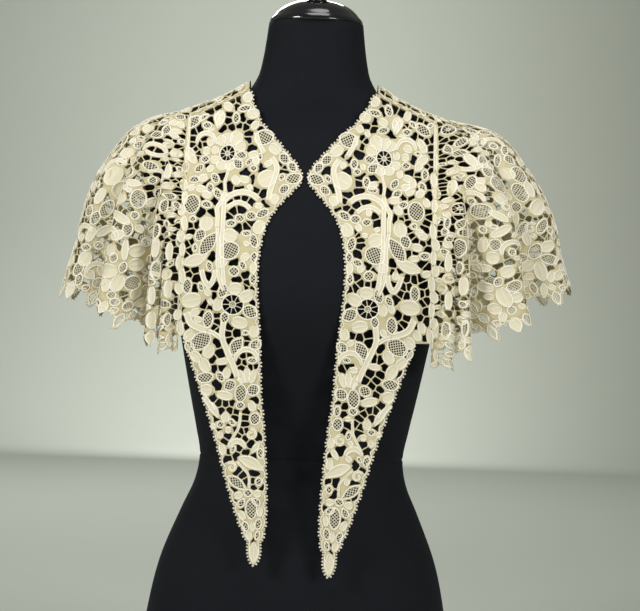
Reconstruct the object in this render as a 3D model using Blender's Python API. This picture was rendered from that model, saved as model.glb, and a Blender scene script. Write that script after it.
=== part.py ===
"""A lace pelerine on a limbless dress form.

The pelerine is cut in five pieces: two front panels that end in long pointed lappets, two gathered
shoulder capes and a back panel. Each piece is laid out flat in millimetres, with its outline, its
motifs and the gaps between them, and is then laid on its own curved surface and given a wall.
"""
import math

import bpy
import numpy as np
from mathutils import Vector
from mathutils.geometry import delaunay_2d_cdt

# Lengths are in millimetres until a mesh is made. X runs to the right as seen from the front,
# Y away from the viewer and Z up. Zero is the middle of the form's flat base.
MM = 0.001

# Lace
WALL = 1.3                 # thickness of the raised tape lace
CLEAR = 1.5                # from the form's skin to the middle of the wall, where the lace lies on it
CLEAR_MORE = 3.9           # more of it on the round of the shoulders, where flat facets cut the corner
MORE_FROM_Z = 580.0
MORE_AT_Z = 612.0
CLOSURE_X = -6.0           # the fronts meet a little to the left of the form's middle
SEAM_INNER_X = 72.0        # where the shoulder seams start, beside the neck
BACK_NECK_HALF = 50.0      # half width of the back's neck edge
SEAM_X = 135.5             # the upright tape seams, from the middle of the form
SEAM_HALF_GAP = 0.5        # from a seam to the middle of the wall on each side of it
SHOULDER_HALF_GAP = 1.2    # the same at the shoulder seams, which lie on a steep round
SEAM_EASE = 25.0           # past a seam, where the wall's thickness turns from the seam's plane
SEAM_DEPTH = 30.0          # the shoulder seams, in front of and behind the top of the shoulder
SEAM_FOOT_Z = 381.0        # lower end of the upright seams
CAPE_FRONT_Z = {-1: 366.0, 1: 357.0}   # the capes hang on past it in front
RIGHT_TIP_DROP = 10.0      # the right lappet hangs lower than the left
RIGHT_CAPE_SPREAD = 1.25   # the right cape stands out further than the left
SPREAD_FROM_X = 160.0
RIGHT_CAPE_RISE = 5.0      # and rises higher where it leaves the shoulder
RIGHT_RISE_AT = 145.0      # along the cape's crest
RIGHT_RISE_HALF = 35.0
SCALLOP_PITCH = 13.0
SCALLOP_RISE = 3.2
LEAF_TIP_PITCH = 42.0      # the leaf tips of the hem
LEAF_TIP_LENGTH = 24.0

# Gaps in the lace
GAP_PITCH = 11.5           # the staggered rows that the gaps are drawn from
GAP_JITTER = 0.15          # of the pitch
GAP_MOST = 6.5             # longest ray of a gap
GAP_LEAST_AREA = 13.0      # of the smallest that is cut here, in square millimetres
GAP_TO_EDGE = 4.4          # lace left between a gap and the piece's edge
BAR_HALF = 0.75            # half of the bar of lace left between two gaps
GAP_SIDES = 5
GAPS = {"front": 66, "shoulder": 44, "back": 80}
SEEDS = {"front_left": 10, "front_right": 12, "shoulder_left": 20, "shoulder_right": 22, "back": 51}

# Dress form: (height, half_width, front, back), the half sizes of its level sections
FORM_SECTIONS = (
    (0.0, 172.0, 112.0, 118.0),
    (40.0, 170.0, 110.0, 118.0),
    (85.0, 164.0, 107.0, 115.0),
    (134.0, 153.0, 102.0, 106.0),
    (190.0, 131.0, 93.0, 92.0),
    (223.0, 117.0, 86.0, 82.0),
    (251.0, 113.0, 83.0, 78.0),
    (279.0, 118.0, 86.0, 80.0),
    (312.0, 125.0, 94.0, 86.0),
    (346.0, 132.0, 104.0, 92.0),
    (390.0, 141.0, 116.0, 97.0),
    (430.0, 153.0, 120.0, 101.0),
    (480.0, 169.0, 111.0, 105.0),
    (530.0, 182.0, 93.0, 105.0),
    (565.0, 187.0, 77.0, 97.0),
    (592.0, 185.0, 66.0, 84.0),
    (608.0, 171.0, 60.0, 74.0),
    (623.0, 141.0, 58.0, 66.0),
    (638.5, 102.0, 58.0, 62.0),
    (651.0, 77.0, 58.0, 60.0),
    (668.0, 64.0, 56.0, 58.0),
    (690.0, 58.0, 54.0, 55.0),
    (710.0, 55.0, 52.0, 53.0),
    (731.0, 52.5, 50.0, 50.0),
)
FORM_POWER = 2.3           # the sections are a little squarer than an ellipse
FORM_SIDES = 40
ARM_FULLNESS = 34.0        # how far the hanging lace bridges out past the form's side
FULL_FROM_Z = 600.0
FULL_AT_Z = 500.0

# Neck cap: (height, radius) of the dome, then of its knob
CAP_PROFILE = (
    (731.4, 52.0),
    (734.0, 51.8),
    (740.0, 47.5),
    (746.0, 42.0),
    (752.0, 33.0),
    (756.5, 20.0),
    (758.0, 12.0),
    (764.0, 10.5),
    (770.0, 14.0),
    (778.0, 17.0),
    (786.0, 15.0),
    (791.0, 8.0),
)
CAP_SIDES = 28

# Front panel edges: (height, away), away from the closure
NECK_EDGE = (
    (646.0, 70.5),
    (638.0, 68.0),
    (629.0, 64.0),
    (620.0, 58.5),
    (611.0, 52.5),
    (601.0, 41.5),
    (591.0, 33.0),
    (579.0, 22.0),
    (567.0, 12.0),
    (556.0, 3.5),
)
FRONT_EDGE = (
    (541.0, 15.0),
    (529.0, 27.0),
    (515.0, 37.0),
    (500.0, 44.0),
    (479.0, 48.5),
    (455.0, 50.5),
    (426.0, 49.5),
    (391.0, 46.0),
    (355.0, 43.5),
    (316.0, 41.5),
    (293.0, 38.0),
    (253.0, 34.5),
    (219.0, 32.5),
    (184.0, 31.5),
    (166.0, 35.0),
)
# The leaf at the lappet's tip
TIP_LEAF = (
    (160.0, 34.2),
    (151.0, 34.0),
    (144.0, 36.6),
    (139.5, 40.0),
    (144.0, 43.4),
    (151.0, 46.0),
    (160.0, 46.4),
)
OUTER_EDGE = (
    (167.0, 46.0),
    (190.0, 56.0),
    (228.0, 69.0),
    (266.0, 80.0),
    (310.0, 95.0),
    (350.0, 110.0),
    (381.0, 121.5),
)

# Front panel motifs: (away, height, radius); the gaps keep clear of them
FRONT_MOTIFS = (
    (66.0, 638.0, 8.0),
    (60.0, 622.0, 6.0),
    (71.0, 628.0, 6.0),
    (97.0, 617.0, 8.0),
    (129.0, 611.0, 8.0),
    (108.0, 594.0, 8.0),
    (86.0, 578.0, 21.0),
    (47.0, 597.0, 9.0),
    (30.0, 580.0, 7.0),
    (15.0, 563.0, 8.0),
    (42.0, 553.0, 10.5),
    (94.0, 552.0, 6.0),
    (72.0, 541.0, 7.0),
    (121.0, 523.0, 8.0),
    (102.0, 503.0, 10.0),
    (67.0, 509.0, 7.0),
    (106.0, 478.0, 12.0),
    (84.0, 475.0, 10.0),
    (120.0, 462.0, 10.0),
    (94.0, 456.0, 9.0),
    (77.0, 446.0, 6.0),
    (78.0, 406.0, 21.0),
    (132.0, 426.0, 7.0),
    (128.0, 412.0, 8.0),
    (108.0, 389.0, 9.0),
    (112.0, 365.0, 14.0),
    (60.0, 385.0, 6.0),
    (59.0, 352.0, 10.0),
    (59.0, 325.0, 9.0),
    (107.0, 335.0, 10.0),
    (90.0, 320.0, 8.0),
    (60.0, 304.0, 7.0),
    (41.0, 296.0, 6.0),
    (78.0, 288.0, 10.0),
    (62.0, 270.0, 8.0),
    (47.0, 246.0, 14.0),
    (61.0, 226.0, 9.0),
    (45.0, 203.0, 13.0),
    (42.0, 176.0, 11.0),
    (41.0, 153.0, 8.0),
)
# The stem that climbs the lappet: (away, height)
STEM = (
    (64.0, 312.0),
    (72.0, 330.0),
    (83.0, 360.0),
    (88.0, 386.0),
    (100.0, 420.0),
    (90.0, 470.0),
    (92.0, 530.0),
)
STEM_HALF_WIDTH = 2.0
STEM_PITCH = 3.0

# Shoulder cape crest: (along, crest_x, crest_z), from the neck along the top of the shoulder and down
# the cape's outermost line, on past the hem to the end of its leaf tips
CAPE_CREST = (
    (0.0, 71.0, 660.5),
    (30.0, 98.0, 644.0),
    (64.0, 130.0, 630.0),
    (84.0, 148.0, 623.5),
    (112.0, 176.0, 616.0),
    (134.0, 195.0, 606.0),
    (162.0, 214.0, 588.0),
    (190.0, 230.0, 566.0),
    (220.0, 242.0, 540.0),
    (250.0, 250.0, 512.0),
    (282.0, 255.0, 481.0),
    (312.0, 262.0, 454.0),
    (335.0, 267.0, 433.0),
    (375.0, 275.0, 395.0),
)
CAPE_CORNER = 70.0         # along the crest, where the shoulder seam turns into the upright one
CAPE_END = 335.0           # along the cape's rows, where the hem's leaf tips begin
CAPE_SHORTER = {-1: 9.0, 1: 27.0}   # how much shorter than the rows the crest is at the hem
SHORTER_FROM = 120.0
FLUTES_FROM = 96.0         # along the crest, where the flutes begin
# Flutes: (turn, inward), degrees round the cape from its outermost line, negative in front, and how
# far the fold goes in at the hem, in millimetres
FLUTES = (
    (-90.0, 0.0),
    (-86.5, 7.0),
    (-83.0, -3.0),
    (-79.5, 9.0),
    (-75.5, -4.0),
    (-69.0, 38.0),
    (-59.0, -2.0),
    (-50.0, -7.0),
    (-41.0, 24.0),
    (-30.0, -3.0),
    (-14.0, -5.0),
    (4.0, 14.0),
    (20.0, -5.0),
    (33.0, -4.0),
    (44.0, 24.0),
    (56.0, -5.0),
    (69.0, 32.0),
    (76.0, -3.0),
    (80.5, 8.0),
    (84.5, -3.0),
    (87.5, 6.0),
    (90.0, 0.0),
)
BACK_HEM_Z = 381.0
BACK_NECK_Z = 659.0
MOTIF_PITCH = 46.0         # flowers of the capes and the back
MOTIF_RADIUS = 13.0
MOTIF_JITTER = 0.12        # of the pitch
INNER_PITCH = 17.0         # of the points inside a panel that bend it to its surface
INNER_TO_EDGE = 3.2
INNER_TO_GAP = 1.6
CAPE_FIRST_ROW = 8.0       # the same on the capes, in rows along the crest
CAPE_INNER_ROWS = 14
FLUTES_SHOW_FROM = 150.0
SLOPE_REACH = 0.7          # each way from a point, to find which way its surface faces


def column(table, index):
    """One named column of a table as an array."""
    return np.array([row[index] for row in table])


def smooth(table_x, table_y, x):
    """A smooth curve through a table: on each span, the cubic that meets its ends with their mean slopes."""
    slope = np.gradient(table_y, table_x)
    i = np.clip(np.searchsorted(table_x, x) - 1, 0, len(table_x) - 2)
    span = table_x[i + 1] - table_x[i]
    t = np.clip((x - table_x[i]) / span, 0.0, 1.0)
    return (
        table_y[i] * (2 * t**3 - 3 * t**2 + 1)
        + table_y[i + 1] * (3 * t**2 - 2 * t**3)
        + slope[i] * span * (t**3 - 2 * t**2 + t)
        + slope[i + 1] * span * (t**3 - t**2)
    )


def form_size(z, name):
    """The form's half width, front or back at height z."""
    index = ("half_width", "front", "back").index(name) + 1
    return smooth(column(FORM_SECTIONS, 0), column(FORM_SECTIONS, index), z)


def skin_depth(x, z, name, fuller=0.0):
    """How far the form's skin lies in front of or behind its middle plane at x and height z."""
    across = np.abs(x) / (form_size(z, "half_width") + fuller)
    rest = np.clip(1.0 - across**FORM_POWER, 0.0, 1.0)
    return form_size(z, name) * rest ** (1.0 / FORM_POWER)


def hung_depth(x, z, name):
    """Lace lies on the form and hangs straight down from its furthest place: the most of the depths above."""
    x, z = np.broadcast_arrays(np.asarray(x, float), np.asarray(z, float))
    above = z[..., None] + np.linspace(0.0, 300.0, 61)
    full = np.clip((FULL_FROM_Z - above) / (FULL_FROM_Z - FULL_AT_Z), 0.0, 1.0)
    full = ARM_FULLNESS * full**2 * (3 - 2 * full)
    return skin_depth(x[..., None], np.minimum(above, 731.0), name, full).max(axis=-1)


def seam_height(x, name, depth):
    """Height of the shoulder seam at x: where the skin is this deep, found on a fine ladder of heights."""
    ladder = np.linspace(700.0, 560.0, 561)
    deep = skin_depth(np.asarray(x, float)[..., None], ladder, name) > depth
    return ladder[np.argmax(deep, axis=-1)]


def front_place(side):
    """The front panel's flat points (x, z) laid on the chest."""
    def place(a, b):
        return np.stack([a, -hung_depth(a, b, "front"), b], axis=-1)
    return place


def back_place(a, b):
    """The back panel's flat points (x, z) laid on the shoulder blades."""
    return np.stack([a, hung_depth(a, b, "back"), b], axis=-1)


def cape_point(side, along, turn):
    """Half ellipses from the front seam over the crest to the back seam, folded in at the flutes.

    turn runs from -90 at the front seam through 0 on the crest to 90 at the back seam.
    """
    mark = column(CAPE_CREST, 0)
    shorter = CAPE_SHORTER[side] * np.maximum(along - SHORTER_FROM, 0.0) / (CAPE_END - SHORTER_FROM)
    crest_x = smooth(mark, column(CAPE_CREST, 1), along - shorter)
    crest_z = smooth(mark, column(CAPE_CREST, 2), along - shorter)
    if side > 0:
        crest_x = crest_x + (RIGHT_CAPE_SPREAD - 1.0) * np.maximum(crest_x - SPREAD_FROM_X, 0.0)
        crest_z = crest_z + RIGHT_CAPE_RISE * np.exp(-(((along - RIGHT_RISE_AT) / RIGHT_RISE_HALF) ** 2))
    seam_x = np.minimum(crest_x, SEAM_X + SEAM_HALF_GAP)
    on_seam = SEAM_DEPTH - SHOULDER_HALF_GAP
    down = np.maximum(along - CAPE_CORNER, 0.0) / (CAPE_END - CAPE_CORNER)
    seam_y = 0.0
    seam_z = 0.0
    for name, chosen, foot in (("front", turn < 0, CAPE_FRONT_Z[side]), ("back", turn >= 0, SEAM_FOOT_Z)):
        top = seam_height(seam_x, name, on_seam)
        height = top + (foot - top) * down
        depth = np.where(down > 0, hung_depth(seam_x, height, name), on_seam)
        seam_y = seam_y + chosen * depth
        seam_z = seam_z + chosen * height
    grown = np.clip((along - FLUTES_FROM) / (CAPE_END - FLUTES_FROM), 0.0, 1.15) ** 1.2
    fold = smooth(column(FLUTES, 0), column(FLUTES, 1), turn) * grown
    outward = np.cos(np.radians(turn))
    aft = np.sin(np.radians(turn))
    radius = np.hypot((crest_x - seam_x) * outward, seam_y * aft)
    scale = 1.0 - fold / np.maximum(radius, 50.0)
    x = seam_x + (crest_x - seam_x) * outward * scale
    y = seam_y * aft * scale
    z = seam_z + (crest_z - seam_z) * outward
    return np.stack([side * x, y, z], axis=-1)


CAPE_ROWS = np.linspace(0.0, CAPE_END + LEAF_TIP_LENGTH, 37)
CAPE_TURNS = np.linspace(-90.0, 90.0, 241)


def cape_pattern(side):
    """The cape's flat pattern: at each row, the length of cloth from the crest to each turn."""
    points = cape_point(side, CAPE_ROWS[:, None], CAPE_TURNS[None, :])
    step = np.linalg.norm(np.diff(points, axis=1), axis=2)
    length = np.concatenate([np.zeros((len(CAPE_ROWS), 1)), np.cumsum(step, axis=1)], axis=1)
    return length - length[:, len(CAPE_TURNS) // 2][:, None]


def cape_reach(pattern, along, turn):
    """Flat distance from the crest at a row and a turn."""
    row = np.interp(along, CAPE_ROWS, np.arange(len(CAPE_ROWS)))
    low = np.clip(row.astype(int), 0, len(CAPE_ROWS) - 2)
    share = row - low
    place = np.interp(turn, CAPE_TURNS, np.arange(len(CAPE_TURNS)))
    left = np.clip(place.astype(int), 0, len(CAPE_TURNS) - 2)
    part = place - left
    upper = pattern[low, left] * (1 - part) + pattern[low, left + 1] * part
    lower = pattern[low + 1, left] * (1 - part) + pattern[low + 1, left + 1] * part
    return upper * (1 - share) + lower * share


def cape_place(side):
    """The shoulder cape's flat points (across, -along) laid on its folded rows."""
    pattern = cape_pattern(side)
    share = np.linspace(-1.0, 1.0, 241)
    turns = np.array([
        np.interp(np.where(share < 0, -share * row[0], share * row[-1]), row, CAPE_TURNS) for row in pattern
    ])

    def place(a, b):
        along = np.clip(-b, 0.0, CAPE_ROWS[-1])
        front = np.interp(along, CAPE_ROWS, pattern[:, 0])
        back = np.interp(along, CAPE_ROWS, pattern[:, -1])
        part = np.clip(np.where(a < 0, -a / front, a / back), -1.0, 1.0)
        row = np.interp(along, CAPE_ROWS, np.arange(len(CAPE_ROWS)))
        low = np.clip(row.astype(int), 0, len(CAPE_ROWS) - 2)
        between = row - low
        spot = (part + 1.0) / 2.0 * (len(share) - 1)
        left = np.clip(spot.astype(int), 0, len(share) - 2)
        rest = spot - left
        upper = turns[low, left] * (1 - rest) + turns[low, left + 1] * rest
        lower = turns[low + 1, left] * (1 - rest) + turns[low + 1, left + 1] * rest
        return cape_point(side, along, upper * (1 - between) + lower * between)
    return place, pattern


def spaced(path, pitch):
    """A path of points spaced evenly, as near to the pitch as its length allows."""
    path = np.array(path, float)
    step = np.hypot(*np.diff(path, axis=0).T)
    run = np.concatenate([[0.0], np.cumsum(step)])
    count = max(1, round(run[-1] / pitch))
    marks = np.linspace(0.0, run[-1], count + 1)
    return np.stack([np.interp(marks, run, path[:, 0]), np.interp(marks, run, path[:, 1])], axis=1)


def scalloped(path, pitch, bumps):
    """An edge in repeats: bumps holds (share of the pitch, rise) and rises to the right of the path."""
    marks = spaced(path, pitch)
    step = np.diff(marks, axis=0)
    right = np.stack([step[:, 1], -step[:, 0]], axis=1) / np.hypot(*step.T)[:, None]
    rows = [marks[:-1] + share * step + rise * right for share, rise in bumps]
    return np.stack(rows, axis=1).reshape(-1, 2)


SCALLOP = ((0.0, 0.0), (0.3, SCALLOP_RISE), (0.7, SCALLOP_RISE))
# A hem repeat is two lobes, the leaf and two lobes: (share of the pitch, share of the leaf's length)
HALF_TIP = ((0.0, 0.0), (0.07, 0.19), (0.19, 0.19), (0.25, 0.04), (0.3, 0.31), (0.385, 0.31), (0.41, 0.67))
LEAF_TIP = tuple((share, rise * LEAF_TIP_LENGTH) for share, rise in (
    *HALF_TIP, (0.5, 1.0), *((1.0 - share, rise) for share, rise in HALF_TIP[:0:-1])
))


def centre_x(z):
    """The fronts close left of the middle; at the neck they are even."""
    return CLOSURE_X * np.clip((655.0 - z) / 50.0, 0.0, 1.0)


def front_outline(side):
    """The front panel's flat outline (x, z), down the inner edge and up the outer one."""
    inner = np.array([(away, z) for z, away in NECK_EDGE + FRONT_EDGE])
    outer = np.array([(away, z) for z, away in OUTER_EDGE])
    edge = np.concatenate([
        scalloped(inner, SCALLOP_PITCH, SCALLOP),
        inner[-1:],
        [(away, z) for z, away in TIP_LEAF],
        scalloped(outer, SCALLOP_PITCH, SCALLOP),
        outer[-1:],
    ])
    if side > 0:
        edge[:, 1] -= RIGHT_TIP_DROP * np.clip((360.0 - edge[:, 1]) / 220.0, 0.0, 1.0)
    edge[:, 0] = centre_x(edge[:, 1]) + side * edge[:, 0]
    seam = side * (SEAM_X - SEAM_HALF_GAP)
    across = np.linspace(SEAM_X - SEAM_HALF_GAP, SEAM_INNER_X, 7)
    top = seam_height(across, "front", SEAM_DEPTH + SHOULDER_HALF_GAP)
    upright = np.linspace(SEAM_FOOT_Z, top[0], 14)
    return np.concatenate([
        edge,
        np.stack([np.full(13, seam), upright[:-1]], axis=1),
        np.stack([side * across, top], axis=1),
    ])


def back_outline():
    """The back panel's flat outline (x, z): hem, right seam, right shoulder, neck, left shoulder, left seam."""
    wide = SEAM_X - SEAM_HALF_GAP
    hem = scalloped(((wide, BACK_HEM_Z), (-wide, BACK_HEM_Z)), LEAF_TIP_PITCH, [(s, -r) for s, r in LEAF_TIP])
    across = np.linspace(wide, SEAM_INNER_X, 7)
    top = seam_height(across, "back", SEAM_DEPTH + SHOULDER_HALF_GAP)
    upright = np.linspace(BACK_HEM_Z, top[0], 14)[:-1]
    neck = np.linspace(BACK_NECK_HALF, -BACK_NECK_HALF, 7)
    return np.concatenate([
        hem,
        np.stack([np.full(13, -wide), upright], axis=1),
        np.stack([-across, top], axis=1),
        np.stack([-neck, BACK_NECK_Z - 2.0 * np.abs(neck) / BACK_NECK_HALF], axis=1),
        np.stack([across[::-1], top[::-1]], axis=1),
        np.stack([np.full(13, wide), upright[::-1]], axis=1),
    ])


def cape_outline(pattern):
    """The cape's flat outline (across, -along): neck edge, front seam, leaf tips, back seam."""
    along = np.concatenate([np.linspace(0.0, CAPE_CORNER, 5), np.linspace(CAPE_CORNER, CAPE_END, 15)[1:]])
    front = np.interp(along, CAPE_ROWS, pattern[:, 0])
    back = np.interp(along, CAPE_ROWS, pattern[:, -1])
    hem = scalloped(((front[-1], -CAPE_END), (back[-1], -CAPE_END)), LEAF_TIP_PITCH, LEAF_TIP)
    neck = np.linspace(back[0], front[0], 5)[1:-1]
    return np.concatenate([
        np.stack([front, -along], axis=1)[:-1],
        hem,
        np.stack([back, -along], axis=1)[::-1],
        np.stack([neck, np.zeros(3)], axis=1),
    ])


def inside(points, outline):
    """Which points lie inside an outline: a line to the right of each crosses it an odd number of times."""
    x = points[:, 0][:, None]
    y = points[:, 1][:, None]
    start = outline
    end = np.roll(outline, -1, axis=0)
    spans = (start[:, 1] > y) != (end[:, 1] > y)
    rise = np.where(end[:, 1] == start[:, 1], 1.0, end[:, 1] - start[:, 1])
    crossing = start[:, 0] + (y - start[:, 1]) / rise * (end[:, 0] - start[:, 0])
    return (spans & (x < crossing)).sum(axis=1) % 2 == 1


def to_path(points, path, closed=False):
    """The distance from each point to the nearest place on a path."""
    end = np.roll(path, -1, axis=0) if closed else path[1:]
    start = path if closed else path[:-1]
    span = end - start
    length = np.maximum((span**2).sum(axis=1), 1e-9)
    share = np.clip(((points[:, None] - start) * span).sum(axis=2) / length, 0.0, 1.0)
    return np.linalg.norm(points[:, None] - start - share[..., None] * span, axis=2).min(axis=1)


def staggered(outline, pitch, jitter, seed):
    """Points in staggered rows over an outline, each shifted a little."""
    low = outline.min(axis=0)
    high = outline.max(axis=0)
    rows = np.arange(low[1] - pitch, high[1] + pitch, pitch * 0.87)
    places = np.arange(low[0] - pitch, high[0] + pitch, pitch)
    x, y = np.meshgrid(places, rows)
    x = x + (np.arange(len(rows)) % 2)[:, None] * pitch / 2
    points = np.stack([x, y], axis=-1).reshape(-1, 2)
    points = points + np.random.default_rng(seed).uniform(-jitter, jitter, points.shape) * pitch
    return points[inside(points, outline)]


def gap_rings(outline, motifs, most, seed):
    """The gaps, largest first: rays from a middle that stop at a motif or half way to the next gap."""
    middles = staggered(outline, GAP_PITCH, GAP_JITTER, seed)
    start = np.random.default_rng(seed).uniform(0.0, 2 * math.pi, (len(middles), 1))
    turn = start + np.arange(GAP_SIDES) * 2 * math.pi / GAP_SIDES
    rays = np.stack([np.cos(turn), np.sin(turn)], axis=-1)
    apart = middles[None] - middles[:, None]
    toward = np.einsum("nmd,nkd->nmk", apart, rays)
    half_way = np.where(toward > 0, (apart**2).sum(axis=2)[..., None] / np.where(toward > 0, 2 * toward, 1.0), np.inf)
    radius = np.minimum(half_way.min(axis=1) - BAR_HALF, GAP_MOST)
    radius = np.minimum(radius, (to_path(middles, outline, True) - GAP_TO_EDGE)[:, None])
    offset = motifs[None, :, :2] - middles[:, None]
    ahead = np.einsum("nmd,nkd->nmk", offset, rays)
    aside = (offset**2).sum(axis=2)[..., None] - ahead**2
    room = (motifs[None, :, 2:] + BAR_HALF) ** 2 - aside
    stop = np.where((room > 0) & (ahead > 0), ahead - np.sqrt(np.maximum(room, 0.0)), np.inf)
    radius = np.minimum(radius, stop.min(axis=1))
    open_here = radius.min(axis=1) > BAR_HALF
    area = math.sin(2 * math.pi / GAP_SIDES) / 2 * (radius * np.roll(radius, 1, axis=1)).sum(axis=1)
    area = np.where(open_here, area, 0.0)
    order = np.argsort(-area, kind="stable")
    order = order[area[order] >= GAP_LEAST_AREA][:most]
    return middles[order, None] + radius[order, :, None] * rays[order]


def flower_rows(outline, seed):
    """Motifs of the capes and the back: flowers in staggered rows, with smaller ones between them."""
    centres = staggered(outline, MOTIF_PITCH, MOTIF_JITTER, seed)
    between = centres + (MOTIF_PITCH * 0.5, MOTIF_PITCH * 0.3)
    return np.concatenate([
        np.column_stack([centres, np.full(len(centres), MOTIF_RADIUS)]),
        np.column_stack([between, np.full(len(between), MOTIF_RADIUS * 0.5)]),
    ])


def wall(name, place, outline, rings, inner, colour):
    """A flat layout made one closed wall: triangles between outline, gaps and inner points, laid on
    the surface, with a face on each side and a rim round every edge."""
    loops = [outline] + list(rings)
    keep = to_path(inner, outline, True) > INNER_TO_EDGE
    for ring in rings:
        centre = ring.mean(axis=0)
        reach = np.linalg.norm(ring - centre, axis=1).max() + INNER_TO_GAP
        keep &= np.linalg.norm(inner - centre, axis=1) > reach
    points = np.concatenate(loops + [inner[keep]])
    edges = []
    first = 0
    for loop in loops:
        edges += [(first + i, first + (i + 1) % len(loop)) for i in range(len(loop))]
        first += len(loop)
    flat, _, faces, _, _, _ = delaunay_2d_cdt([Vector(p) for p in points.tolist()], edges, [], 0, 1e-5)
    flat = np.array([tuple(p) for p in flat])
    faces = np.array(faces)
    middle = flat[faces].mean(axis=1)
    solid = inside(middle, outline)
    for ring in rings:
        solid &= ~inside(middle, ring)
    faces = faces[solid]

    a, b = flat.T
    along_a = place(a + SLOPE_REACH, b) - place(a - SLOPE_REACH, b)
    along_b = place(a, b + SLOPE_REACH) - place(a, b - SLOPE_REACH)
    normal = np.cross(along_a, along_b)
    normal /= np.maximum(np.linalg.norm(normal, axis=1), 1e-9)[:, None]
    middle_points = place(a, b)
    away = middle_points * (1.0, 1.0, 0.0)
    if (normal * away).sum() < 0:
        normal = -normal
        faces = faces[:, ::-1]
    seam_share = 1.0 - np.clip((np.abs(middle_points[:, 0]) - SEAM_X) / SEAM_EASE, 0.0, 1.0)
    normal[:, 0] *= 1.0 - seam_share
    normal /= np.linalg.norm(normal, axis=1)[:, None]
    round_share = np.clip((middle_points[:, 2:] - MORE_FROM_Z) / (MORE_AT_Z - MORE_FROM_Z), 0.0, 1.0)
    middle_points = middle_points + normal * (CLEAR + CLEAR_MORE * round_share)
    corner = middle_points[faces]
    facing = np.cross(corner[:, 1] - corner[:, 0], corner[:, 2] - corner[:, 0])
    if (facing * normal[faces[:, 0]]).sum() < 0:
        faces = faces[:, ::-1]
    used = np.unique(faces)
    number = np.zeros(len(flat), int)
    number[used] = np.arange(len(used))
    faces = number[faces]
    outer = (middle_points + normal * WALL / 2)[used]
    inner_side = (middle_points - normal * WALL / 2)[used]
    ends = np.concatenate([faces[:, [0, 1]], faces[:, [1, 2]], faces[:, [2, 0]]])
    known = {(i, j) for i, j in ends.tolist()}
    rim = np.array([(i, j) for i, j in ends.tolist() if (j, i) not in known])
    shift = len(used)
    side_faces = np.column_stack([rim[:, 1], rim[:, 0], rim[:, 0] + shift, rim[:, 1] + shift])
    whole = faces.tolist() + (faces[:, ::-1] + shift).tolist() + side_faces.tolist()
    make(name, np.concatenate([outer, inner_side]), whole, colour, LACE_ROUGHNESS)


def make(name, points, faces, colour, roughness, smooth_shading=False):
    """One named object with its own material, its points given in millimetres."""
    mesh = bpy.data.meshes.new(name)
    mesh.from_pydata((points * MM).tolist(), [], faces)
    material = bpy.data.materials.new(name)
    material.use_nodes = True
    shader = material.node_tree.nodes["Principled BSDF"]
    shader.inputs["Base Color"].default_value = (*colour, 1.0)
    shader.inputs["Roughness"].default_value = roughness
    shader.inputs["Metallic"].default_value = 0.0
    mesh.materials.append(material)
    if smooth_shading:
        mesh.shade_smooth()
    thing = bpy.data.objects.new(name, mesh)
    bpy.context.collection.objects.link(thing)
    return thing


def stacked(name, rings, colour, roughness):
    """A closed body through level rings of equal count, with a flat face on each end."""
    count = len(rings[0])
    faces = []
    for row in range(len(rings) - 1):
        base = row * count
        for i in range(count):
            j = (i + 1) % count
            faces.append((base + i, base + j, base + count + j, base + count + i))
    faces.append(tuple(reversed(range(count))))
    last = (len(rings) - 1) * count
    faces.append(tuple(range(last, last + count)))
    make(name, np.concatenate(rings), faces, colour, roughness, True)


def dress_form():
    """The torso: level sections a little squarer than an ellipse, from the flat base to the neck."""
    turn = np.arange(FORM_SIDES) * 2 * math.pi / FORM_SIDES
    across = np.sign(np.cos(turn)) * np.abs(np.cos(turn)) ** (2 / FORM_POWER)
    deep = np.sign(np.sin(turn)) * np.abs(np.sin(turn)) ** (2 / FORM_POWER)
    rings = []
    for z, half_width, front, back in FORM_SECTIONS:
        depth = np.where(deep < 0, front, back)
        rings.append(np.column_stack([half_width * across, depth * deep, np.full(FORM_SIDES, z)]))
    stacked("dress_form", rings, (0.012, 0.014, 0.022), 0.85)


def neck_cap():
    """The dome and knob that close the neck, turned about the form's axis."""
    turn = np.arange(CAP_SIDES) * 2 * math.pi / CAP_SIDES
    rings = []
    for z, radius in CAP_PROFILE:
        rings.append(np.column_stack([radius * np.cos(turn), radius * np.sin(turn), np.full(CAP_SIDES, z)]))
    stacked("neck_cap", rings, (0.01, 0.01, 0.012), 0.12)


IVORY = (0.80, 0.75, 0.58)
LACE_ROUGHNESS = 0.75


def main():
    for thing in list(bpy.data.objects):
        bpy.data.objects.remove(thing)
    dress_form()
    neck_cap()
    for side, label in ((-1, "left"), (1, "right")):
        outline = front_outline(side)
        stem = spaced(STEM, STEM_PITCH)
        motifs = np.concatenate([
            np.array(FRONT_MOTIFS),
            np.column_stack([stem, np.full(len(stem), STEM_HALF_WIDTH)]),
        ])
        motifs[:, 0] = centre_x(motifs[:, 1]) + side * motifs[:, 0]
        rings = gap_rings(outline, motifs, GAPS["front"], SEEDS["front_" + label])
        inner = staggered(outline, INNER_PITCH, 0.0, 0)
        wall("front_" + label, front_place(side), outline, rings, inner, IVORY)

        place, pattern = cape_place(side)
        outline = cape_outline(pattern)
        motifs = flower_rows(outline, SEEDS["shoulder_" + label])
        rings = gap_rings(outline, motifs, GAPS["shoulder"], SEEDS["shoulder_" + label])
        rows, turns = np.meshgrid(np.linspace(CAPE_FIRST_ROW, CAPE_END, CAPE_INNER_ROWS), column(FLUTES, 0)[1:-1])
        inner = np.column_stack([cape_reach(pattern, rows.ravel(), turns.ravel()), -rows.ravel()])
        fluted = rows.ravel() > FLUTES_SHOW_FROM
        every_third = np.arange(rows.size) // rows.shape[1] % 3 == 2
        wall("shoulder_" + label, place, outline, rings, inner[fluted | every_third], IVORY)

    outline = back_outline()
    rings = gap_rings(outline, flower_rows(outline, SEEDS["back"]), GAPS["back"], SEEDS["back"])
    wall("back", back_place, outline, rings, staggered(outline, INNER_PITCH, 0.0, 0), IVORY)


main()
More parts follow.
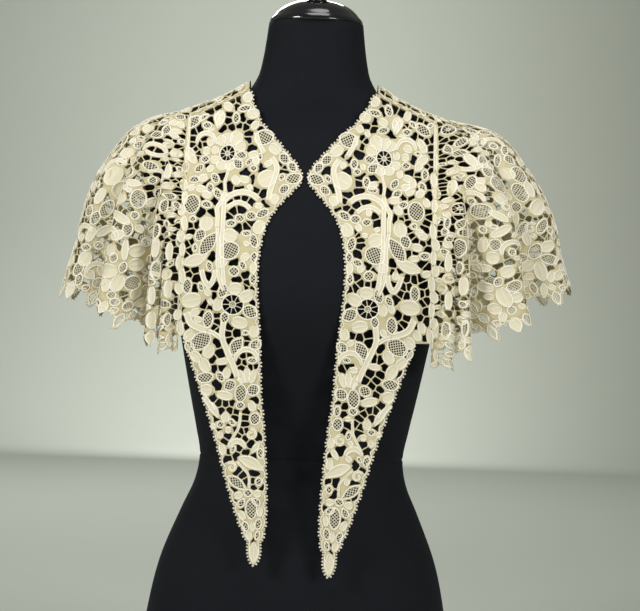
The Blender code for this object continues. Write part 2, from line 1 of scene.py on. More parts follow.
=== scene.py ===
# %% [markdown]
# # A lace pelerine on a dress form
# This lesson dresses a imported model: a limbless form in dark jersey that wears a pelerine of ivory tape
# lace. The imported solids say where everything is. Here each lace panel is rebuilt as thin cloth with real
# gaps, and the raised tapes, cords, nets and picots are laid over it.
# Lengths are in millimetres until a mesh is made. X runs to the right as seen from the front, Y away from
# the viewer, Z up, and zero is the middle of the form's flat base.

# %% Load the frame
import math

import bpy
import numpy as np
from mathutils import Matrix, Vector
from mathutils.geometry import delaunay_2d_cdt
from mathutils.kdtree import KDTree


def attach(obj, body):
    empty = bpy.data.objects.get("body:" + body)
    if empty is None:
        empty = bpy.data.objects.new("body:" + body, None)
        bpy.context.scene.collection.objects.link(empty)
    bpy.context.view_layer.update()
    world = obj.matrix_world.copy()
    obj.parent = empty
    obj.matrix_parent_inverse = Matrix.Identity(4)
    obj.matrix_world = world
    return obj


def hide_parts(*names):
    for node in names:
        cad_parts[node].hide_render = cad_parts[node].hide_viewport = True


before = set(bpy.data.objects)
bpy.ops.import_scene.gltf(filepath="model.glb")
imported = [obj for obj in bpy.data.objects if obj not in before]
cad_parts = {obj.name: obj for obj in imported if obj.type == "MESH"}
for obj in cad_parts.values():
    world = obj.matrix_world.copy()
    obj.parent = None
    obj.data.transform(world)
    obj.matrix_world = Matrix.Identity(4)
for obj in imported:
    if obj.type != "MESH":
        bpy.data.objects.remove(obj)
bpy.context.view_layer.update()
MM = 0.001
print("solids:", sorted(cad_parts))

# %% [markdown]
# ## The camera
# The photograph was taken from straight in front, about two and a half metres away, at the height of the
# bust, with the camera tilted two degrees. It crops the knob at the top and the hips at the bottom.

# %% Camera
CAMERA_AWAY = 2500.0
CAMERA_AT = (15.0, 418.3)     # X and Z of the place that the lens points at
CAMERA_ROLL = 2.0             # degrees, so that the form leans right in the picture
PICTURE_WIDTH = 713.6         # what the picture's width takes in at the form's middle plane
SENSOR = 36.0

camera = bpy.data.objects.new("camera", bpy.data.cameras.new("camera"))
bpy.context.scene.collection.objects.link(camera)
roll = math.radians(CAMERA_ROLL)
right = Vector((math.cos(roll), 0.0, math.sin(roll)))
back = Vector((0.0, -1.0, 0.0))
place = Matrix((right, back.cross(right), back)).transposed().to_4x4()
place.translation = Vector((CAMERA_AT[0], -CAMERA_AWAY, CAMERA_AT[1])) * MM
camera.matrix_world = place
camera.data.sensor_width = SENSOR
camera.data.lens = SENSOR * CAMERA_AWAY / PICTURE_WIDTH
camera.data.clip_end = 20.0
bpy.context.scene.camera = camera
print("lens", round(camera.data.lens, 1), "mm")

# %% [markdown]
# ## Floor, backdrop and light
# The studio is plain: a pale greenish grey paper that lies on the floor and curves up into a wall far
# behind the form, so that the form can also be looked at from behind. Two large soft lights stand at the
# front left and front right, and their reflections show on the glossy neck cap. A weaker one hangs above,
# and a weak one behind the form fills the shadows of its back. Two more light only the paper, one its
# wall and one its floor, because in the photograph the paper is brightest behind the neck and fades to
# the right. The lights behind the form are hidden from the camera, which looks their way.

# %% Colours and node helpers
def linear(hex_colour):
    """An sRGB hex colour as linear red, green, blue and one, by the sRGB curve."""
    parts = np.array([int(hex_colour[i:i + 2], 16) / 255.0 for i in (1, 3, 5)])
    flat = np.where(parts <= 0.04045, parts / 12.92, ((parts + 0.055) / 1.055) ** 2.4)
    return (*flat.tolist(), 1.0)


def node(tree, kind, links=None, **settings):
    """Adds a node. settings are its properties or, where it has no such property, its sockets'
    values; links maps a socket to the socket that feeds it."""
    made = tree.nodes.new(kind)
    for name, value in settings.items():
        if hasattr(made, name):
            setattr(made, name, value)
        else:
            made.inputs[name.replace("_", " ")].default_value = value
    for name, source in (links or {}).items():
        tree.links.new(source, made.inputs[name])
    return made


def new_material(name):
    """An empty node material and its shader: a Principled shader joined to the output."""
    made = bpy.data.materials.new(name)
    made.use_nodes = True
    tree = made.node_tree
    return made, tree, tree.nodes["Principled BSDF"]


# %% Studio
# Painted shade: the paper's colour is darker higher up the wall and towards the right, where less light falls
# on it.
PAPER = "#b8bdb2"
PAPER_UP_PAINTED_SHADE = "#a9aea3"         # higher up the wall
PAPER_RIGHT_PAINTED_SHADE = "#989c91"     # towards the right
# metres
FLOOR_HALF = 5.6
WALL_AT = 5.3                # past the place from which the form is looked at from behind
WALL_TOP = 4.2
SWEEP = 1.3                  # radius of the curve between floor and wall
PAPER_DROP = 0.0005          # below the form's base, so that the two faces don't flicker
SWEEP_STEPS = 13


def sweep_paper():
    """A floor that curves up into a wall: a profile of floor, quarter circle and wall, drawn out sideways."""
    turn = np.linspace(0.0, math.pi / 2, SWEEP_STEPS)
    depth = np.concatenate([[-FLOOR_HALF], WALL_AT - SWEEP + SWEEP * np.sin(turn), [WALL_AT]])
    height = np.concatenate([[0.0], SWEEP - SWEEP * np.cos(turn), [WALL_TOP]]) - PAPER_DROP
    across = np.array([-FLOOR_HALF, FLOOR_HALF])
    points = np.stack([
        np.repeat(across, len(depth)),
        np.tile(depth, 2),
        np.tile(height, 2),
    ], axis=1)
    count = len(depth)
    faces = [(i, i + 1, count + i + 1, count + i)[::-1] for i in range(count - 1)]
    mesh = bpy.data.meshes.new("studio_sweep")
    mesh.from_pydata(points.tolist(), [], faces)
    mesh.shade_smooth()
    sheet = bpy.data.objects.new("studio_sweep", mesh)
    bpy.context.scene.collection.objects.link(sheet)
    made, tree, shader = new_material("paper_sweep")
    at = node(tree, "ShaderNodeTexCoord").outputs["Object"]
    apart = node(tree, "ShaderNodeSeparateXYZ", {"Vector": at})
    # Painted shade: by height and by place across, the colour mixes towards the darker paper colours.
    painted_shade_up_share = node(tree, "ShaderNodeMapRange", {"Value": apart.outputs["Z"]}, From_Min=-0.1, From_Max=0.7)
    corner = node(tree, "ShaderNodeMapRange", {"Value": apart.outputs["X"]}, From_Min=0.05, From_Max=1.1)
    grain = node(tree, "ShaderNodeTexNoise", {"Vector": at}, Scale=9.0, Detail=3.0)
    painted_shade_up_mix = node(tree, "ShaderNodeMix", {"Factor": painted_shade_up_share.outputs["Result"]}, data_type="RGBA")
    painted_shade_up_mix.inputs[6].default_value = linear(PAPER)
    painted_shade_up_mix.inputs[7].default_value = linear(PAPER_UP_PAINTED_SHADE)
    sideways = {"Factor": corner.outputs["Result"], 6: painted_shade_up_mix.outputs[2]}
    shaded = node(tree, "ShaderNodeMix", sideways, data_type="RGBA")
    shaded.inputs[7].default_value = linear(PAPER_RIGHT_PAINTED_SHADE)
    fibre = node(tree, "ShaderNodeMapRange", {"Value": grain.outputs["Fac"]}, To_Min=1.0, To_Max=1.03)
    fibres = {"Color": shaded.outputs[2], "Value": fibre.outputs["Result"]}
    toned = node(tree, "ShaderNodeHueSaturation", fibres)
    tree.links.new(toned.outputs["Color"], shader.inputs["Base Color"])
    shader.inputs["Roughness"].default_value = 0.95
    mesh.materials.append(made)


def soft_light(name, at, aim, size, watts):
    """A square, white area light that looks from one place at another; places and size in metres."""
    data = bpy.data.lights.new(name, "AREA")
    data.size = size
    data.energy = watts
    lamp = bpy.data.objects.new(name, data)
    lamp.location = at
    lamp.rotation_euler = (Vector(aim) - Vector(at)).to_track_quat("-Z", "Y").to_euler()
    bpy.context.scene.collection.objects.link(lamp)
    return lamp


sweep_paper()
soft_light("key_left", (-1.9, -1.6, 1.5), (0.0, 0.0, 0.45), 0.7, 40.0)
soft_light("key_right", (1.7, -2.0, 0.95), (0.0, 0.0, 0.4), 0.8, 33.0)
soft_light("top", (0.1, -0.5, 2.3), (0.0, 0.0, 0.5), 1.0, 12.0)
wall_glow = soft_light("wall_glow", (-0.1, 3.4, 1.1), (-0.1, 5.3, 1.05), 0.45, 27.0)
wall_glow.data.shape = "RECTANGLE"
wall_glow.data.size_y = 1.2
floor_glow = soft_light("floor_glow", (0.2, 3.4, 2.5), (0.2, 3.3, 0.0), 0.9, 25.0)
back_fill = soft_light("back_fill", (-0.5, 2.6, 1.9), (0.0, 0.0, 0.45), 0.9, 20.0)
for lamp in (wall_glow, floor_glow, back_fill):
    lamp.visible_camera = False
world = bpy.data.worlds.new("studio")
world.use_nodes = True
world.node_tree.nodes["Background"].inputs["Color"].default_value = linear("#dfe3da")
world.node_tree.nodes["Background"].inputs["Strength"].default_value = 0.24
bpy.context.scene.view_settings.view_transform = "Standard"
bpy.context.scene.world = world
print("studio: sweep, 6 lights")

# %% [markdown]
# ## The dress form's sizes
# The form is a stack of level sections, each a little squarer than an ellipse. The cloth's surfaces are
# worked out from it, so its sizes come first: height, half width, depth in front and depth behind.

# %% Form sizes
FORM_SECTIONS = np.array([
    # height, half_width, front, back
    (0.0, 172.0, 112.0, 118.0),
    (40.0, 170.0, 110.0, 118.0),
    (85.0, 164.0, 107.0, 115.0),
    (134.0, 153.0, 102.0, 106.0),
    (190.0, 131.0, 93.0, 92.0),
    (223.0, 117.0, 86.0, 82.0),
    (251.0, 113.0, 83.0, 78.0),
    (279.0, 118.0, 86.0, 80.0),
    (312.0, 125.0, 94.0, 86.0),
    (346.0, 132.0, 104.0, 92.0),
    (390.0, 141.0, 116.0, 97.0),
    (430.0, 153.0, 120.0, 101.0),
    (480.0, 169.0, 111.0, 105.0),
    (530.0, 182.0, 93.0, 105.0),
    (565.0, 187.0, 77.0, 97.0),
    (592.0, 185.0, 66.0, 84.0),
    (608.0, 171.0, 60.0, 74.0),
    (623.0, 141.0, 58.0, 66.0),
    (638.5, 102.0, 58.0, 62.0),
    (651.0, 77.0, 58.0, 60.0),
    (668.0, 64.0, 56.0, 58.0),
    (690.0, 58.0, 54.0, 55.0),
    (710.0, 55.0, 52.0, 53.0),
    (731.0, 52.5, 50.0, 50.0),
])
FORM_TOP = FORM_SECTIONS[-1, 0]
FORM_POWER = 2.3
NAMES = {"half_width": 1, "front": 2, "back": 3}


def smooth(table_x, table_y, x):
    """A smooth curve through a table: on each span, the cubic that meets its ends with their mean slopes."""
    slope = np.gradient(table_y, table_x)
    i = np.clip(np.searchsorted(table_x, x) - 1, 0, len(table_x) - 2)
    span = table_x[i + 1] - table_x[i]
    t = np.clip((x - table_x[i]) / span, 0.0, 1.0)
    return (
        table_y[i] * (2 * t**3 - 3 * t**2 + 1)
        + table_y[i + 1] * (3 * t**2 - 2 * t**3)
        + slope[i] * span * (t**3 - 2 * t**2 + t)
        + slope[i + 1] * span * (t**3 - t**2)
    )


def form_size(z, name):
    """The form's half width, front or back at height z."""
    return smooth(FORM_SECTIONS[:, 0], FORM_SECTIONS[:, NAMES[name]], z)


def skin_depth(x, z, name, fuller=0.0):
    """How far the form's skin lies in front of or behind its middle plane: the section's size times
    the rest of one, less the share across to the power, all to one over the power."""
    across = np.abs(x) / (form_size(z, "half_width") + fuller)
    return form_size(z, name) * np.clip(1.0 - across**FORM_POWER, 0.0, 1.0) ** (1.0 / FORM_POWER)


print("form: neck", form_size(np.array([700.0]), "half_width") * 2, "mm wide")

# %% [markdown]
# ## Where the cloth lies
# Lace lies on the form where it can and hangs straight down from the furthest place that it meets. So its
# depth at a height is the most of the form's depths at all heights above. Past the form's side it bridges
# out a little, over the place of the arm.

# %% The hang of the front and back panels
SEAM_X = 135.5               # the upright seams between the panels and the capes
SEAM_HALF_GAP = 0.5
SHOULDER_HALF_GAP = 1.2
SEAM_DEPTH = 30.0            # how far in front of the middle the shoulder seam runs
SEAM_FOOT_Z = 381.0
CAPE_FRONT_Z = {-1: 366.0, 1: 357.0}    # where each cape's front edge ends, left and right
SEAM_EASE = 25.0
CLOSURE_X = -6.0
NECK_X = 72.0                # where the shoulder seam meets the neck edge
CLEAR = 1.5                  # cloth to form, and how much more on the round of the shoulders
CLEAR_MORE = 3.9
MORE_FROM_Z = 580.0
MORE_AT_Z = 612.0
ARM_FULLNESS = 34.0          # how far the cloth bridges out over the place of the arm
FULL_FROM_Z = 600.0
FULL_AT_Z = 500.0


def hung_depth(x, z, name):
    """The most of the skin's depths at a ladder of heights above z, with the section widened past the
    shoulder by a smooth step."""
    x, z = np.broadcast_arrays(np.asarray(x, float), np.asarray(z, float))
    above = z[..., None] + np.linspace(0.0, 300.0, 61)
    full = np.clip((FULL_FROM_Z - above) / (FULL_FROM_Z - FULL_AT_Z), 0.0, 1.0)
    full = ARM_FULLNESS * full**2 * (3 - 2 * full)
    return skin_depth(x[..., None], np.minimum(above, FORM_TOP), name, full).max(axis=-1)


def seam_height(x, name, depth):
    """Height of the shoulder seam at x: where the skin is this deep, found on a fine ladder of heights."""
    ladder = np.linspace(700.0, 560.0, 561)
    marks = np.linspace(60.0, 140.0, 161)
    deep = skin_depth(marks[:, None], ladder, name) > depth
    return np.interp(x, marks, ladder[np.argmax(deep, axis=-1)])


def front_place(a, b):
    """A front panel's flat points (x, z), laid on the chest."""
    return np.stack([a, -hung_depth(a, b, "front"), b], axis=-1)


def back_place(a, b):
    """The back panel's flat points (x, z), laid on the shoulder blades."""
    return np.stack([a, hung_depth(a, b, "back"), b], axis=-1)


# %% [markdown]
# ## The shoulder capes
# Each cape starts as a strip over the top of the shoulder and widens past the upright seam. Its rows are
# half ellipses from the front seam over the crest to the back seam, and the flutes fold them in. The
# flat pattern is found by measuring along the rows, so that motifs keep their size in the folds.

# %% Cape surface
CAPE_CREST = np.array([
    # along, crest_x, crest_z
    (0.0, 71.0, 660.5),
    (30.0, 98.0, 644.0),
    (64.0, 130.0, 630.0),
    (84.0, 148.0, 623.5),
    (112.0, 176.0, 616.0),
    (134.0, 195.0, 606.0),
    (162.0, 214.0, 588.0),
    (190.0, 230.0, 566.0),
    (220.0, 242.0, 540.0),
    (250.0, 250.0, 512.0),
    (282.0, 255.0, 481.0),
    (312.0, 262.0, 454.0),
    (335.0, 267.0, 433.0),
    (375.0, 275.0, 395.0),
])
CAPE_CORNER = 70.0
CAPE_END = 335.0
FLUTES_FROM = 96.0
RIGHT_CAPE_SPREAD = 1.25
SPREAD_FROM_X = 160.0
RIGHT_CAPE_RISE = 5.0
RIGHT_RISE_AT = 145.0
RIGHT_RISE_HALF = 35.0
CAPE_SHORTER = {-1: 9.0, 1: 27.0}
SHORTER_FROM = 120.0
FLUTES = np.array([
    # turn, inward
    (-90.0, 0.0),
    (-86.5, 7.0),
    (-83.0, -3.0),
    (-79.5, 9.0),
    (-75.5, -4.0),
    (-69.0, 38.0),
    (-59.0, -2.0),
    (-50.0, -7.0),
    (-41.0, 24.0),
    (-30.0, -3.0),
    (-14.0, -5.0),
    (4.0, 14.0),
    (20.0, -5.0),
    (33.0, -4.0),
    (44.0, 24.0),
    (56.0, -5.0),
    (69.0, 32.0),
    (76.0, -3.0),
    (80.5, 8.0),
    (84.5, -3.0),
    (87.5, 6.0),
    (90.0, 0.0),
])


def cape_point(side, along, turn):
    """Half ellipses: the seam's place plus crest minus seam times the cosine of the turn, and the
    seam's depth times its sine, drawn in towards the arm by the flutes."""
    shorter = CAPE_SHORTER[side] * np.maximum(along - SHORTER_FROM, 0.0) / (CAPE_END - SHORTER_FROM)
    crest_x = smooth(CAPE_CREST[:, 0], CAPE_CREST[:, 1], along - shorter)
    crest_z = smooth(CAPE_CREST[:, 0], CAPE_CREST[:, 2], along - shorter)
    if side > 0:
        crest_x = crest_x + (RIGHT_CAPE_SPREAD - 1.0) * np.maximum(crest_x - SPREAD_FROM_X, 0.0)
        crest_z = crest_z + RIGHT_CAPE_RISE * np.exp(-(((along - RIGHT_RISE_AT) / RIGHT_RISE_HALF) ** 2))
    seam_x = np.minimum(crest_x, SEAM_X + SEAM_HALF_GAP)
    on_seam = SEAM_DEPTH - SHOULDER_HALF_GAP
    down = np.maximum(along - CAPE_CORNER, 0.0) / (CAPE_END - CAPE_CORNER)
    seam_y = 0.0
    seam_z = 0.0
    for name, chosen, foot in (("front", turn < 0, CAPE_FRONT_Z[side]), ("back", turn >= 0, SEAM_FOOT_Z)):
        top = seam_height(seam_x, name, on_seam)
        height = top + (foot - top) * down
        depth = np.where(down > 0, hung_depth(seam_x, height, name), on_seam)
        seam_y = seam_y + chosen * depth
        seam_z = seam_z + chosen * height
    grown = np.clip((along - FLUTES_FROM) / (CAPE_END - FLUTES_FROM), 0.0, 1.15) ** 1.2
    fold = smooth(FLUTES[:, 0], FLUTES[:, 1], turn) * grown
    outward = np.cos(np.radians(turn))
    aft = np.sin(np.radians(turn))
    radius = np.hypot((crest_x - seam_x) * outward, seam_y * aft)
    scale = 1.0 - fold / np.maximum(radius, 50.0)
    x = seam_x + (crest_x - seam_x) * outward * scale
    y = seam_y * aft * scale
    z = seam_z + (crest_z - seam_z) * outward
    return np.stack([side * x, y, z], axis=-1)


LEAF_TIP_LENGTH = 24.0
CAPE_ROWS = np.linspace(0.0, CAPE_END + LEAF_TIP_LENGTH, 37)
CAPE_TURNS = np.linspace(-90.0, 90.0, 241)     # degrees, from the front seam over the crest to the back


def cape_pattern(side):
    """The cape's flat pattern: at each row, the length of cloth from the crest to each turn."""
    points = cape_point(side, CAPE_ROWS[:, None], CAPE_TURNS[None, :])
    step = np.linalg.norm(np.diff(points, axis=1), axis=2)
    length = np.concatenate([np.zeros((len(CAPE_ROWS), 1)), np.cumsum(step, axis=1)], axis=1)
    return length - length[:, len(CAPE_TURNS) // 2][:, None]


def between(table, row, column):
    """A table read between its rows and columns, with straight steps."""
    low = np.clip(row.astype(int), 0, table.shape[0] - 2)
    left = np.clip(column.astype(int), 0, table.shape[1] - 2)
    v = np.clip(row - low, 0.0, 1.0)
    u = np.clip(column - left, 0.0, 1.0)
    if table.ndim == 3:
        u = u[..., None]
        v = v[..., None]
    upper = table[low, left] * (1 - u) + table[low, left + 1] * u
    lower = table[low + 1, left] * (1 - u) + table[low + 1, left + 1] * u
    return upper * (1 - v) + lower * v


def cape_place(side, pattern):
    """The cape's flat points (across, -along), laid on its folded rows."""
    share = np.linspace(-1.0, 1.0, len(CAPE_TURNS))
    turns = np.array([
        np.interp(np.where(share < 0, -share * row[0], share * row[-1]), row, CAPE_TURNS) for row in pattern
    ])

    def place(a, b):
        """A flat point's share of the cloth's width in its row gives its turn on the folded cape."""
        along = np.clip(-b, 0.0, CAPE_ROWS[-1])
        front = np.interp(along, CAPE_ROWS, pattern[:, 0])
        back = np.interp(along, CAPE_ROWS, pattern[:, -1])
        part = np.clip(np.where(a < 0, -a / front, a / back), -1.0, 1.0)
        row = np.interp(along, CAPE_ROWS, np.arange(len(CAPE_ROWS)))
        turn = between(turns, row, (part + 1.0) / 2.0 * (len(share) - 1))
        return cape_point(side, along, turn)
    return place


print("cape rows:", len(CAPE_ROWS))

# %% [markdown]
# ## Charts
# Every tape, net and picot lies on the cloth, so each panel gets a chart: a grid of places and outward
# directions over its flat pattern. A flat point and a height over the cloth then give a place in space.

# %% Charts
CHART_STEP = 2.0


def stood_off(points, along_a, along_b):
    """Outward directions, turned into the seam's plane near the seams, and the grid moved out by the
    lace's clearance from the form, which is more on the round of the shoulders."""
    normals = np.cross(along_a, along_b)
    hand = 1.0 if (normals * points * (1.0, 1.0, 0.0)).sum() > 0 else -1.0
    normals = hand * normals / np.maximum(np.linalg.norm(normals, axis=-1), 1e-9)[..., None]
    share = 1.0 - np.clip((np.abs(points[..., 0]) - SEAM_X) / SEAM_EASE, 0.0, 1.0)
    normals[..., 0] *= 1.0 - share
    normals /= np.linalg.norm(normals, axis=-1)[..., None]
    more = np.clip((points[..., 2:] - MORE_FROM_Z) / (MORE_AT_Z - MORE_FROM_Z), 0.0, 1.0)
    return points + normals * (CLEAR + CLEAR_MORE * more), normals, hand


def flat_chart(place, low, high):
    """A chart whose grid is the flat pattern itself."""
    a = np.arange(low[0], high[0] + CHART_STEP, CHART_STEP)
    b = np.arange(low[1], high[1] + CHART_STEP, CHART_STEP)
    points = place(*np.meshgrid(a, b, indexing="ij"))
    points, normals, hand = stood_off(points, np.gradient(points, axis=0), np.gradient(points, axis=1))

    def spot(flat):
        """Grid places of flat points."""
        return (flat[:, 0] - low[0]) / CHART_STEP, (flat[:, 1] - low[1]) / CHART_STEP
    return {"points": points, "normals": normals, "hand": hand, "spot": spot}


def cape_chart(side):
    """A chart whose rows run down the cape and whose columns are shares of the cloth's width there."""
    pattern = cape_pattern(side)
    place = cape_place(side, pattern)
    along = np.arange(0.0, CAPE_ROWS[-1] + 0.1, CHART_STEP)
    share = np.linspace(-1.0, 1.0, 321)
    front = -np.interp(along, CAPE_ROWS, pattern[:, 0])
    aft = np.interp(along, CAPE_ROWS, pattern[:, -1])
    a = np.where(share[:, None] < 0, share[:, None] * front, share[:, None] * aft)
    points = place(a, np.broadcast_to(-along, a.shape))
    points, normals, hand = stood_off(points, np.gradient(points, axis=0), -np.gradient(points, axis=1))

    def spot(flat):
        """Grid places of flat points: the share of the width, and how far down."""
        row = np.clip(-flat[:, 1], 0.0, along[-1])
        wide = np.where(flat[:, 0] < 0, np.interp(row, along, front), np.interp(row, along, aft))
        return (np.clip(flat[:, 0] / wide, -1.0, 1.0) + 1.0) / 2.0 * (len(share) - 1), row / CHART_STEP
    return {"points": points, "normals": normals, "hand": hand, "spot": spot}, pattern


def lay(chart, flat, height):
    """Flat points at heights over the cloth, as places in space."""
    row, column = chart["spot"](flat)
    out = between(chart["normals"], row, column)
    return between(chart["points"], row, column) + out * np.asarray(height)[..., None]


# %% [markdown]
# ## Outlines
# The same outlines as the solids': shallow scallops round the fronts and leaf tips along the hems.

# %% Outlines
SCALLOP_PITCH = 13.0
SCALLOP_RISE = 3.2
LEAF_TIP_PITCH = 42.0
RIGHT_TIP_DROP = 10.0
BACK_HEM_Z = 381.0
BACK_NECK_Z = 659.0
BACK_NECK_HALF = 50.0
BACK_NECK_FALL = 2.0
NECK_POINTS = 25
NECK_EDGE = (
    # height, away
    (646.0, 70.5),
    (638.0, 68.0),
    (629.0, 64.0),
    (620.0, 58.5),
    (611.0, 52.5),
    (601.0, 41.5),
    (591.0, 33.0),
    (579.0, 22.0),
    (567.0, 12.0),
    (556.0, 3.5),
)
FRONT_EDGE = (
    # height, away
    (541.0, 15.0),
    (529.0, 27.0),
    (515.0, 37.0),
    (500.0, 44.0),
    (479.0, 48.5),
    (455.0, 50.5),
    (426.0, 49.5),
    (391.0, 46.0),
    (355.0, 43.5),
    (316.0, 41.5),
    (293.0, 38.0),
    (253.0, 34.5),
    (219.0, 32.5),
    (184.0, 31.5),
    (166.0, 35.0),
)
TIP_LEAF = (
    # height, away, round the leaf at the lappet's tip
    (160.0, 34.2),
    (151.0, 34.0),
    (144.0, 36.6),
    (139.5, 40.0),
    (144.0, 43.4),
    (151.0, 46.0),
    (160.0, 46.4),
)
OUTER_EDGE = (
    # height, away
    (167.0, 46.0),
    (190.0, 56.0),
    (228.0, 69.0),
    (266.0, 80.0),
    (310.0, 95.0),
    (350.0, 110.0),
    (381.0, 121.5),
)


def spaced(path, pitch):
    """A path of points spaced evenly, as near to the pitch as its length allows."""
    path = np.array(path, float)
    step = np.hypot(*np.diff(path, axis=0).T)
    run = np.concatenate([[0.0], np.cumsum(step)])
    count = max(1, round(run[-1] / pitch))
    marks = np.linspace(0.0, run[-1], count + 1)
    return np.stack([np.interp(marks, run, path[:, 0]), np.interp(marks, run, path[:, 1])], axis=1)


def scalloped(path, pitch, bumps):
    """An edge in repeats: bumps holds (share of the pitch, rise) and rises to the right of the path."""
    marks = spaced(path, pitch)
    step = np.diff(marks, axis=0)
    to_right = np.stack([step[:, 1], -step[:, 0]], axis=1) / np.hypot(*step.T)[:, None]
    rows = [marks[:-1] + share * step + rise * to_right for share, rise in bumps]
    return np.stack(rows, axis=1).reshape(-1, 2)


ROUND = np.linspace(0.0, 1.0, 8)[:-1]
SCALLOP = [(s, SCALLOP_RISE * math.sin(math.pi * s) ** 0.55) for s in ROUND]
# Half of a hem repeat is two lobes and the side of a leaf: (share of the pitch, share of the leaf's length)
HALF_TIP = ((0.0, 0.0), (0.07, 0.19), (0.19, 0.19), (0.25, 0.04), (0.3, 0.31), (0.385, 0.31), (0.41, 0.67))
LEAF_TIP = [(share, rise * LEAF_TIP_LENGTH) for share, rise in (
    *HALF_TIP, (0.5, 1.0), *((1.0 - share, rise) for share, rise in HALF_TIP[:0:-1])
)]


def rounded(path, times=2):
    """A path with its corners cut: each step is kept from a quarter to three quarters of its length."""
    for _ in range(times):
        step = np.diff(path, axis=0)
        middle = np.stack([path[:-1] + 0.25 * step, path[:-1] + 0.75 * step], axis=1).reshape(-1, 2)
        path = np.concatenate([path[:1], middle, path[-1:]])
    return path


def centre_x(z):
    """The fronts close left of the middle; at the neck they are even."""
    return CLOSURE_X * np.clip((655.0 - z) / 50.0, 0.0, 1.0)


def front_flat(side, drawn):
    """Points drawn as (away from the closure, height), on the pattern of one front."""
    flat = np.array(drawn, float)
    if side > 0:
        flat[:, 1] -= RIGHT_TIP_DROP * np.clip((360.0 - flat[:, 1]) / 220.0, 0.0, 1.0)
    flat[:, 0] = centre_x(flat[:, 1]) + side * flat[:, 0]
    return flat


def front_outline(side):
    """The free edge of a front, from the neck round the tip to the seam's foot, and the whole outline."""
    inner = np.array(NECK_EDGE + FRONT_EDGE)[:, ::-1]
    outer = np.array(OUTER_EDGE)[:, ::-1]
    free = rounded(front_flat(side, np.concatenate([
        scalloped(inner, SCALLOP_PITCH, SCALLOP),
        inner[-1:],
        np.array(TIP_LEAF)[:, ::-1],
        scalloped(outer, SCALLOP_PITCH, SCALLOP),
        outer[-1:],
    ])), 1)
    across = np.linspace(SEAM_X - SEAM_HALF_GAP, NECK_X, 25)
    top = seam_height(across, "front", SEAM_DEPTH + SHOULDER_HALF_GAP)
    upright = np.linspace(SEAM_FOOT_Z, top[0], 60)
    seam = np.concatenate([
        np.stack([np.full(len(upright) - 1, side * across[0]), upright[:-1]], axis=1),
        np.stack([side * across, top], axis=1),
    ])
    return free, seam


def back_outline():
    """The hem's leaf tips, and the rest of the outline: left seam, shoulder, neck, shoulder, right seam."""
    wide = SEAM_X - SEAM_HALF_GAP
    hem = scalloped(((wide, BACK_HEM_Z), (-wide, BACK_HEM_Z)), LEAF_TIP_PITCH, [(s, -r) for s, r in LEAF_TIP])
    hem = rounded(hem)
    across = np.linspace(wide, NECK_X, 25)
    top = seam_height(across, "back", SEAM_DEPTH + SHOULDER_HALF_GAP)
    upright = np.linspace(BACK_HEM_Z, top[0], 60)[:-1]
    neck = np.linspace(BACK_NECK_HALF, -BACK_NECK_HALF, NECK_POINTS)
    rest = np.concatenate([
        np.stack([np.full(len(upright), -wide), upright], axis=1),
        np.stack([-across, top], axis=1),
        np.stack([-neck, BACK_NECK_Z - BACK_NECK_FALL * np.abs(neck) / BACK_NECK_HALF], axis=1),
        np.stack([across[::-1], top[::-1]], axis=1),
        np.stack([np.full(len(upright), wide), upright[::-1]], axis=1),
    ])
    return hem, rest


def cape_outline(pattern):
    """The hem's leaf tips, and the rest of the outline: back seam, neck edge, front seam."""
    along = np.linspace(0.0, CAPE_END, 80)
    front = np.interp(along, CAPE_ROWS, pattern[:, 0])
    aft = np.interp(along, CAPE_ROWS, pattern[:, -1])
    hem = rounded(scalloped(((front[-1], -CAPE_END), (aft[-1], -CAPE_END)), LEAF_TIP_PITCH, LEAF_TIP))
    neck = np.linspace(aft[0], front[0], 12)[1:-1]
    rest = np.concatenate([
        np.stack([aft, -along], axis=1)[::-1],
        np.stack([neck, np.zeros(len(neck))], axis=1),
        np.stack([front, -along], axis=1)[:-1],
    ])
    return hem, rest


# %% [markdown]
# ## Drawing motifs
# Tape lace is drawn with a pen: every motif is a line with a half width that changes along it. A line
# can be laid as a solid tape or petal, or its outline can be corded and its middle filled with net, bars
# or a wheel of spokes. So a motif is first turned into lines, and the lines are then laid on the cloth.

# %% Lines with a width
def petal(x, y, turn, length, width, bend=0.0):
    """A line that leaves (x, y) at an angle and bends evenly, widest past its middle, with round ends."""
    s = np.linspace(0.0, 1.0, 15)
    heading = np.radians(turn + bend * (s - 0.5))
    step = np.stack([np.cos(heading), np.sin(heading)], axis=1) * length / (len(s) - 1)
    line = np.concatenate([[(0.0, 0.0)], np.cumsum((step[1:] + step[:-1]) / 2, axis=0)]) + (x, y)
    return line, width / 2 * np.sin(math.pi * s**1.25) ** 0.7 + 0.1


def leaf(x, y, turn, length, width, bend=0.0):
    """The same with pointed ends."""
    line, _ = petal(x, y, turn, length, width, bend)
    s = np.linspace(0.0, 1.0, len(line))
    return line, width / 2 * np.sin(math.pi * s**0.9) ** 1.1 + 0.1


def oval(x, y, turn, length, width, bend=0.0):
    """An oval about (x, y): the half width is that of an ellipse."""
    s = -np.cos(np.linspace(0.0, math.pi, 17))
    ahead = np.array([math.cos(math.radians(turn)), math.sin(math.radians(turn))])
    return s[:, None] * ahead * length / 2 + (x, y), width / 2 * np.sqrt(np.clip(1 - s**2, 0.0, 1.0)) + 0.05


def arc(x, y, turn, length, width, bend=180.0):
    """A crescent on a circle about (x, y): length is its radius and bend how far round it goes."""
    s = np.linspace(-0.5, 0.5, max(7, int(abs(bend) * length / 90.0)))
    angle = np.radians(turn + bend * s)
    line = np.stack([np.cos(angle), np.sin(angle)], axis=1) * length + (x, y)
    return line, width / 2 * np.cos(math.pi * s) ** 0.4 + 0.1


